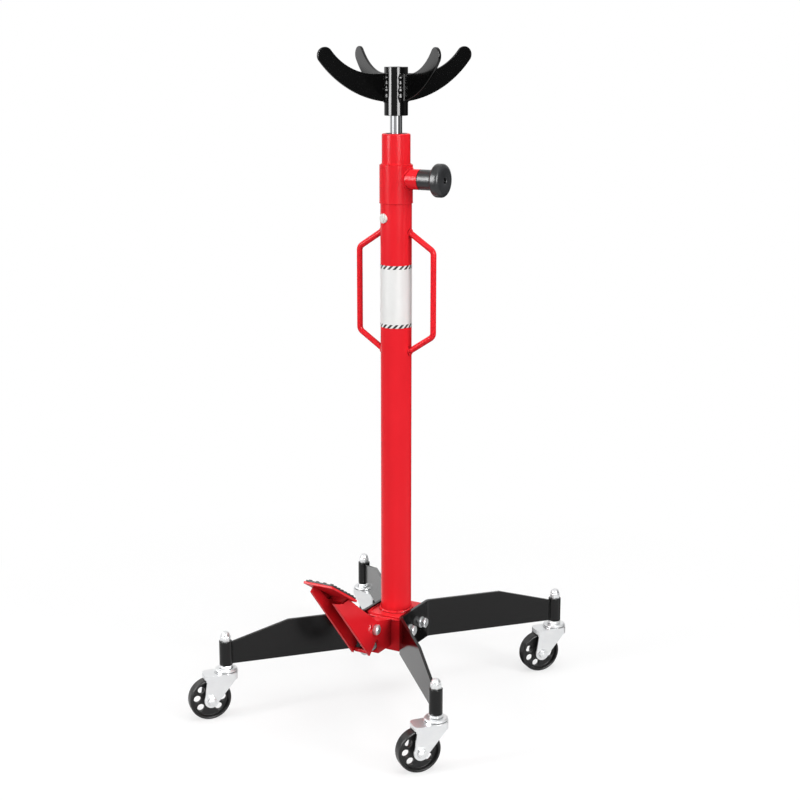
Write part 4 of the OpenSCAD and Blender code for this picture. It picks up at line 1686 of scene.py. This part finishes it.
@dataclass
class Studio:
    """White sweep, soft lamps and the photograph's camera."""

    mirrors: tuple[bpy.types.Object, ...]
    camera_at: Point = (-0.7009, -2.4885, 1.1374)
    pitch_down: float = 12.85
    azimuth: float = -15.73
    focal_px: float = 1560.5
    sensor: float = 36.0
    shift: Pair = (0.00486, -0.0135)
    sight: float = 60.0
    floor_half: float = 45.0
    shadow_reach: Pair = (0.45, 1.1)
    shadow_white: float = 0.65
    sweep_reach: Pair = (1.0, 2.2)
    shade_reach: Pair = (0.4, 0.9)
    mirror_white: float = 0.75
    # Painted dark reflection: beyond these X and Y the floor is nearly black to glossy rays only.
    card_x: Pair = (0.10, 0.20)
    card_y: Pair = (0.0, 0.035)
    card_white: float = 0.03

    def build(self) -> None:
        """Sets up the stage, the lamps, the world and the camera."""
        scene = bpy.context.scene
        scene.view_settings.view_transform = "Standard"
        self.camera(scene)
        self.floor(scene)
        self.world(scene)
        for softbox in self.softboxes():
            softbox.hang(scene)

    def softboxes(self) -> tuple[Softbox, ...]:
        """Fills round the object, a ceiling, and boxes that show in gloss and chrome.

        Returns:
            The lamps.
        """
        middle, head, high = (0.0, 0.0, 0.6), (0.0, 0.0, 1.68), (0.0, 0.0, 1.9)
        fill, gloss = LampUse.FILL, LampUse.MIRROR
        left, right, behind = (-2.93, -0.63, 1.68), (0.43, -2.97, 1.68), (-1.99, 2.24, 1.9)
        chrome = linked("chrome_alone", "INCLUDE", self.mirrors)
        paint = linked("all_but_chrome", "EXCLUDE", self.mirrors)
        return (
            Softbox("left_fill", (-2.95, -0.45, 1.5), middle, (0.6, 1.7), 44.0, fill),
            Softbox("right_fill", (2.1, -2.2, 1.25), middle, (0.6, 2.4), 41.0, fill),
            Softbox("front_fill", (-0.6, -3.4, 1.5), middle, (2.2, 1.4), 25.0, fill),
            Softbox("ceiling", (0.3, -0.6, 3.4), middle, (2.6, 2.6), 50.0, fill),
            Softbox("left_gloss", left, head, (1.4, 1.8), 195.0, gloss, paint),
            Softbox("right_gloss", right, head, (1.3, 1.8), 160.0, gloss, paint),
            Softbox("left_chrome", left, head, (1.4, 1.8), 13.0, gloss, chrome),
            Softbox("right_chrome", right, head, (1.3, 1.8), 12.0, gloss, chrome),
            Softbox("back_gloss", behind, high, (1.6, 1.8), 10.0, gloss),
        )

    def camera(self, scene: bpy.types.Scene) -> None:
        """Places the camera as the photograph was taken.

        Args:
            scene: Scene that gets the camera.
        """
        lens = bpy.data.cameras.new("photo_camera")
        lens.sensor_width = self.sensor
        lens.lens = self.focal_px / IMAGE_SIDE * self.sensor
        lens.shift_x, lens.shift_y = self.shift
        lens.clip_end = self.sight
        eye = bpy.data.objects.new("photo_camera", lens)
        eye.location = self.camera_at
        pitch, azimuth = math.radians(90.0 - self.pitch_down), math.radians(self.azimuth)
        eye.rotation_euler = (pitch, 0.0, azimuth)
        scene.collection.objects.link(eye)
        scene.camera = eye

    def floor(self, scene: bpy.types.Scene) -> None:
        """Lays the pale floor.

        Args:
            scene: Scene that gets the floor.
        """
        bm = bmesh.new()
        bmesh.ops.create_grid(bm, x_segments=4, y_segments=4, size=self.floor_half)
        mesh = bpy.data.meshes.new("floor")
        bm.to_mesh(mesh)
        bm.free()
        mesh.materials.append(self.floor_finish())
        ground = bpy.data.objects.new("floor", mesh)
        scene.collection.objects.link(ground)

    def floor_finish(self) -> bpy.types.Material:
        """White floor that keeps the shadow near the object.

        To glossy rays it is a little shaded below the object and open further off, and beside the
        hub it holds a dark patch, a painted dark reflection that only gloss sees.

        Returns:
            The material.
        """
        material = bpy.data.materials.new("pale_floor")
        g = Graph.emptied(material)
        path = g.add("LightPath").outputs
        glossy = path["Is Glossy Ray"]
        seen = g.math("MAXIMUM", path["Is Camera Ray"], glossy)
        seen = g.math("MAXIMUM", seen, path["Is Transmission Ray"])
        pale = g.mix(seen, (0.25, 0.25, 0.25, 1.0), (0.92, 0.92, 0.92, 1.0))
        matt = g.add("BsdfDiffuse", {"Color": pale}).outputs[0]
        place = g.place()
        far = g.add("VectorMath", {0: place}, operation="LENGTH").outputs["Value"]
        shade = g.span(far, *self.shade_reach, 1.0 - self.mirror_white, 0.0)
        glow = g.white("Emission", g.math("SUBTRACT", 1.0, g.product(shade, glossy)))
        clear = g.span(far, *self.shadow_reach, self.shadow_white, 1.0)
        surface = g.blend(g.product(seen, clear), matt, glow)
        gone = g.product(g.span(far, *self.sweep_reach, 0.0, 1.0), glossy)
        surface = g.blend(gone, surface, g.add("BsdfTransparent").outputs[0])
        split = g.split(place)
        # Painted dark reflection: a floor patch that only glossy rays see, darkening what the
        # nearby plates reflect.
        card_x = g.span(split["X"], *self.card_x, 0.0, 1.0)
        card_y = g.span(split["Y"], *self.card_y, 0.0, 1.0)
        reflection_shade = g.white("Emission", self.card_white)
        surface = g.blend(g.product(card_x, card_y, glossy), surface, reflection_shade)
        g.add("OutputMaterial", {"Surface": surface})
        return material

    @staticmethod
    def world(scene: bpy.types.Scene) -> None:
        """Lights the room softly and keeps the backdrop white.

        Args:
            scene: Scene that gets the world.
        """
        world = bpy.data.worlds.new("white_room")
        g = Graph.emptied(world)
        path = g.add("LightPath").outputs
        aim = g.add("TexCoord").outputs["Generated"]
        front = g.dot(aim, (-0.2711, -0.9625, 0.0))
        backdrop = g.dot(aim, (-0.664, 0.746, 0.0))
        wall = g.dot(aim, (-0.511, -0.860, 0.0))
        ceiling = g.split(aim)["Z"]
        dark = 0.1
        room = g.span(front, -0.4, 0.3, 0.32, dark)
        for facing, start, end, level in (
            (front, -0.6, -0.92, 1.0),
            (backdrop, 0.6, 0.95, 0.5),
            (wall, 0.75, 0.92, 0.4),
            (ceiling, 0.25, 0.9, 0.9),
        ):
            room = g.math("MAXIMUM", room, g.span(facing, start, end, dark, level))
        soft, mirror, white = (g.white("Background", level) for level in (0.5, room, 1.0))
        lit = g.blend(path["Is Glossy Ray"], soft, mirror)
        seen = g.math("MAXIMUM", path["Is Camera Ray"], path["Is Transmission Ray"])
        g.add("OutputWorld", {"Surface": g.blend(seen, lit, white)})
        scene.world = world


def main() -> None:
    """Builds every sub-assembly in order, then the studio round them."""
    logging.basicConfig(level=logging.INFO, format="%(message)s")
    shop = Workshop(make_finishes())
    kinds = (ColumnHead, Handles, RamSaddle, ReleaseValve, LegBase, Casters, FootPump, Pedal)
    for kind in kinds:
        kind(shop).build()
        LOG.info("built %s", kind.__name__)
    Studio((bpy.data.objects["ram_rod_eased"],)).build()


if __name__ == "__main__":
    main()
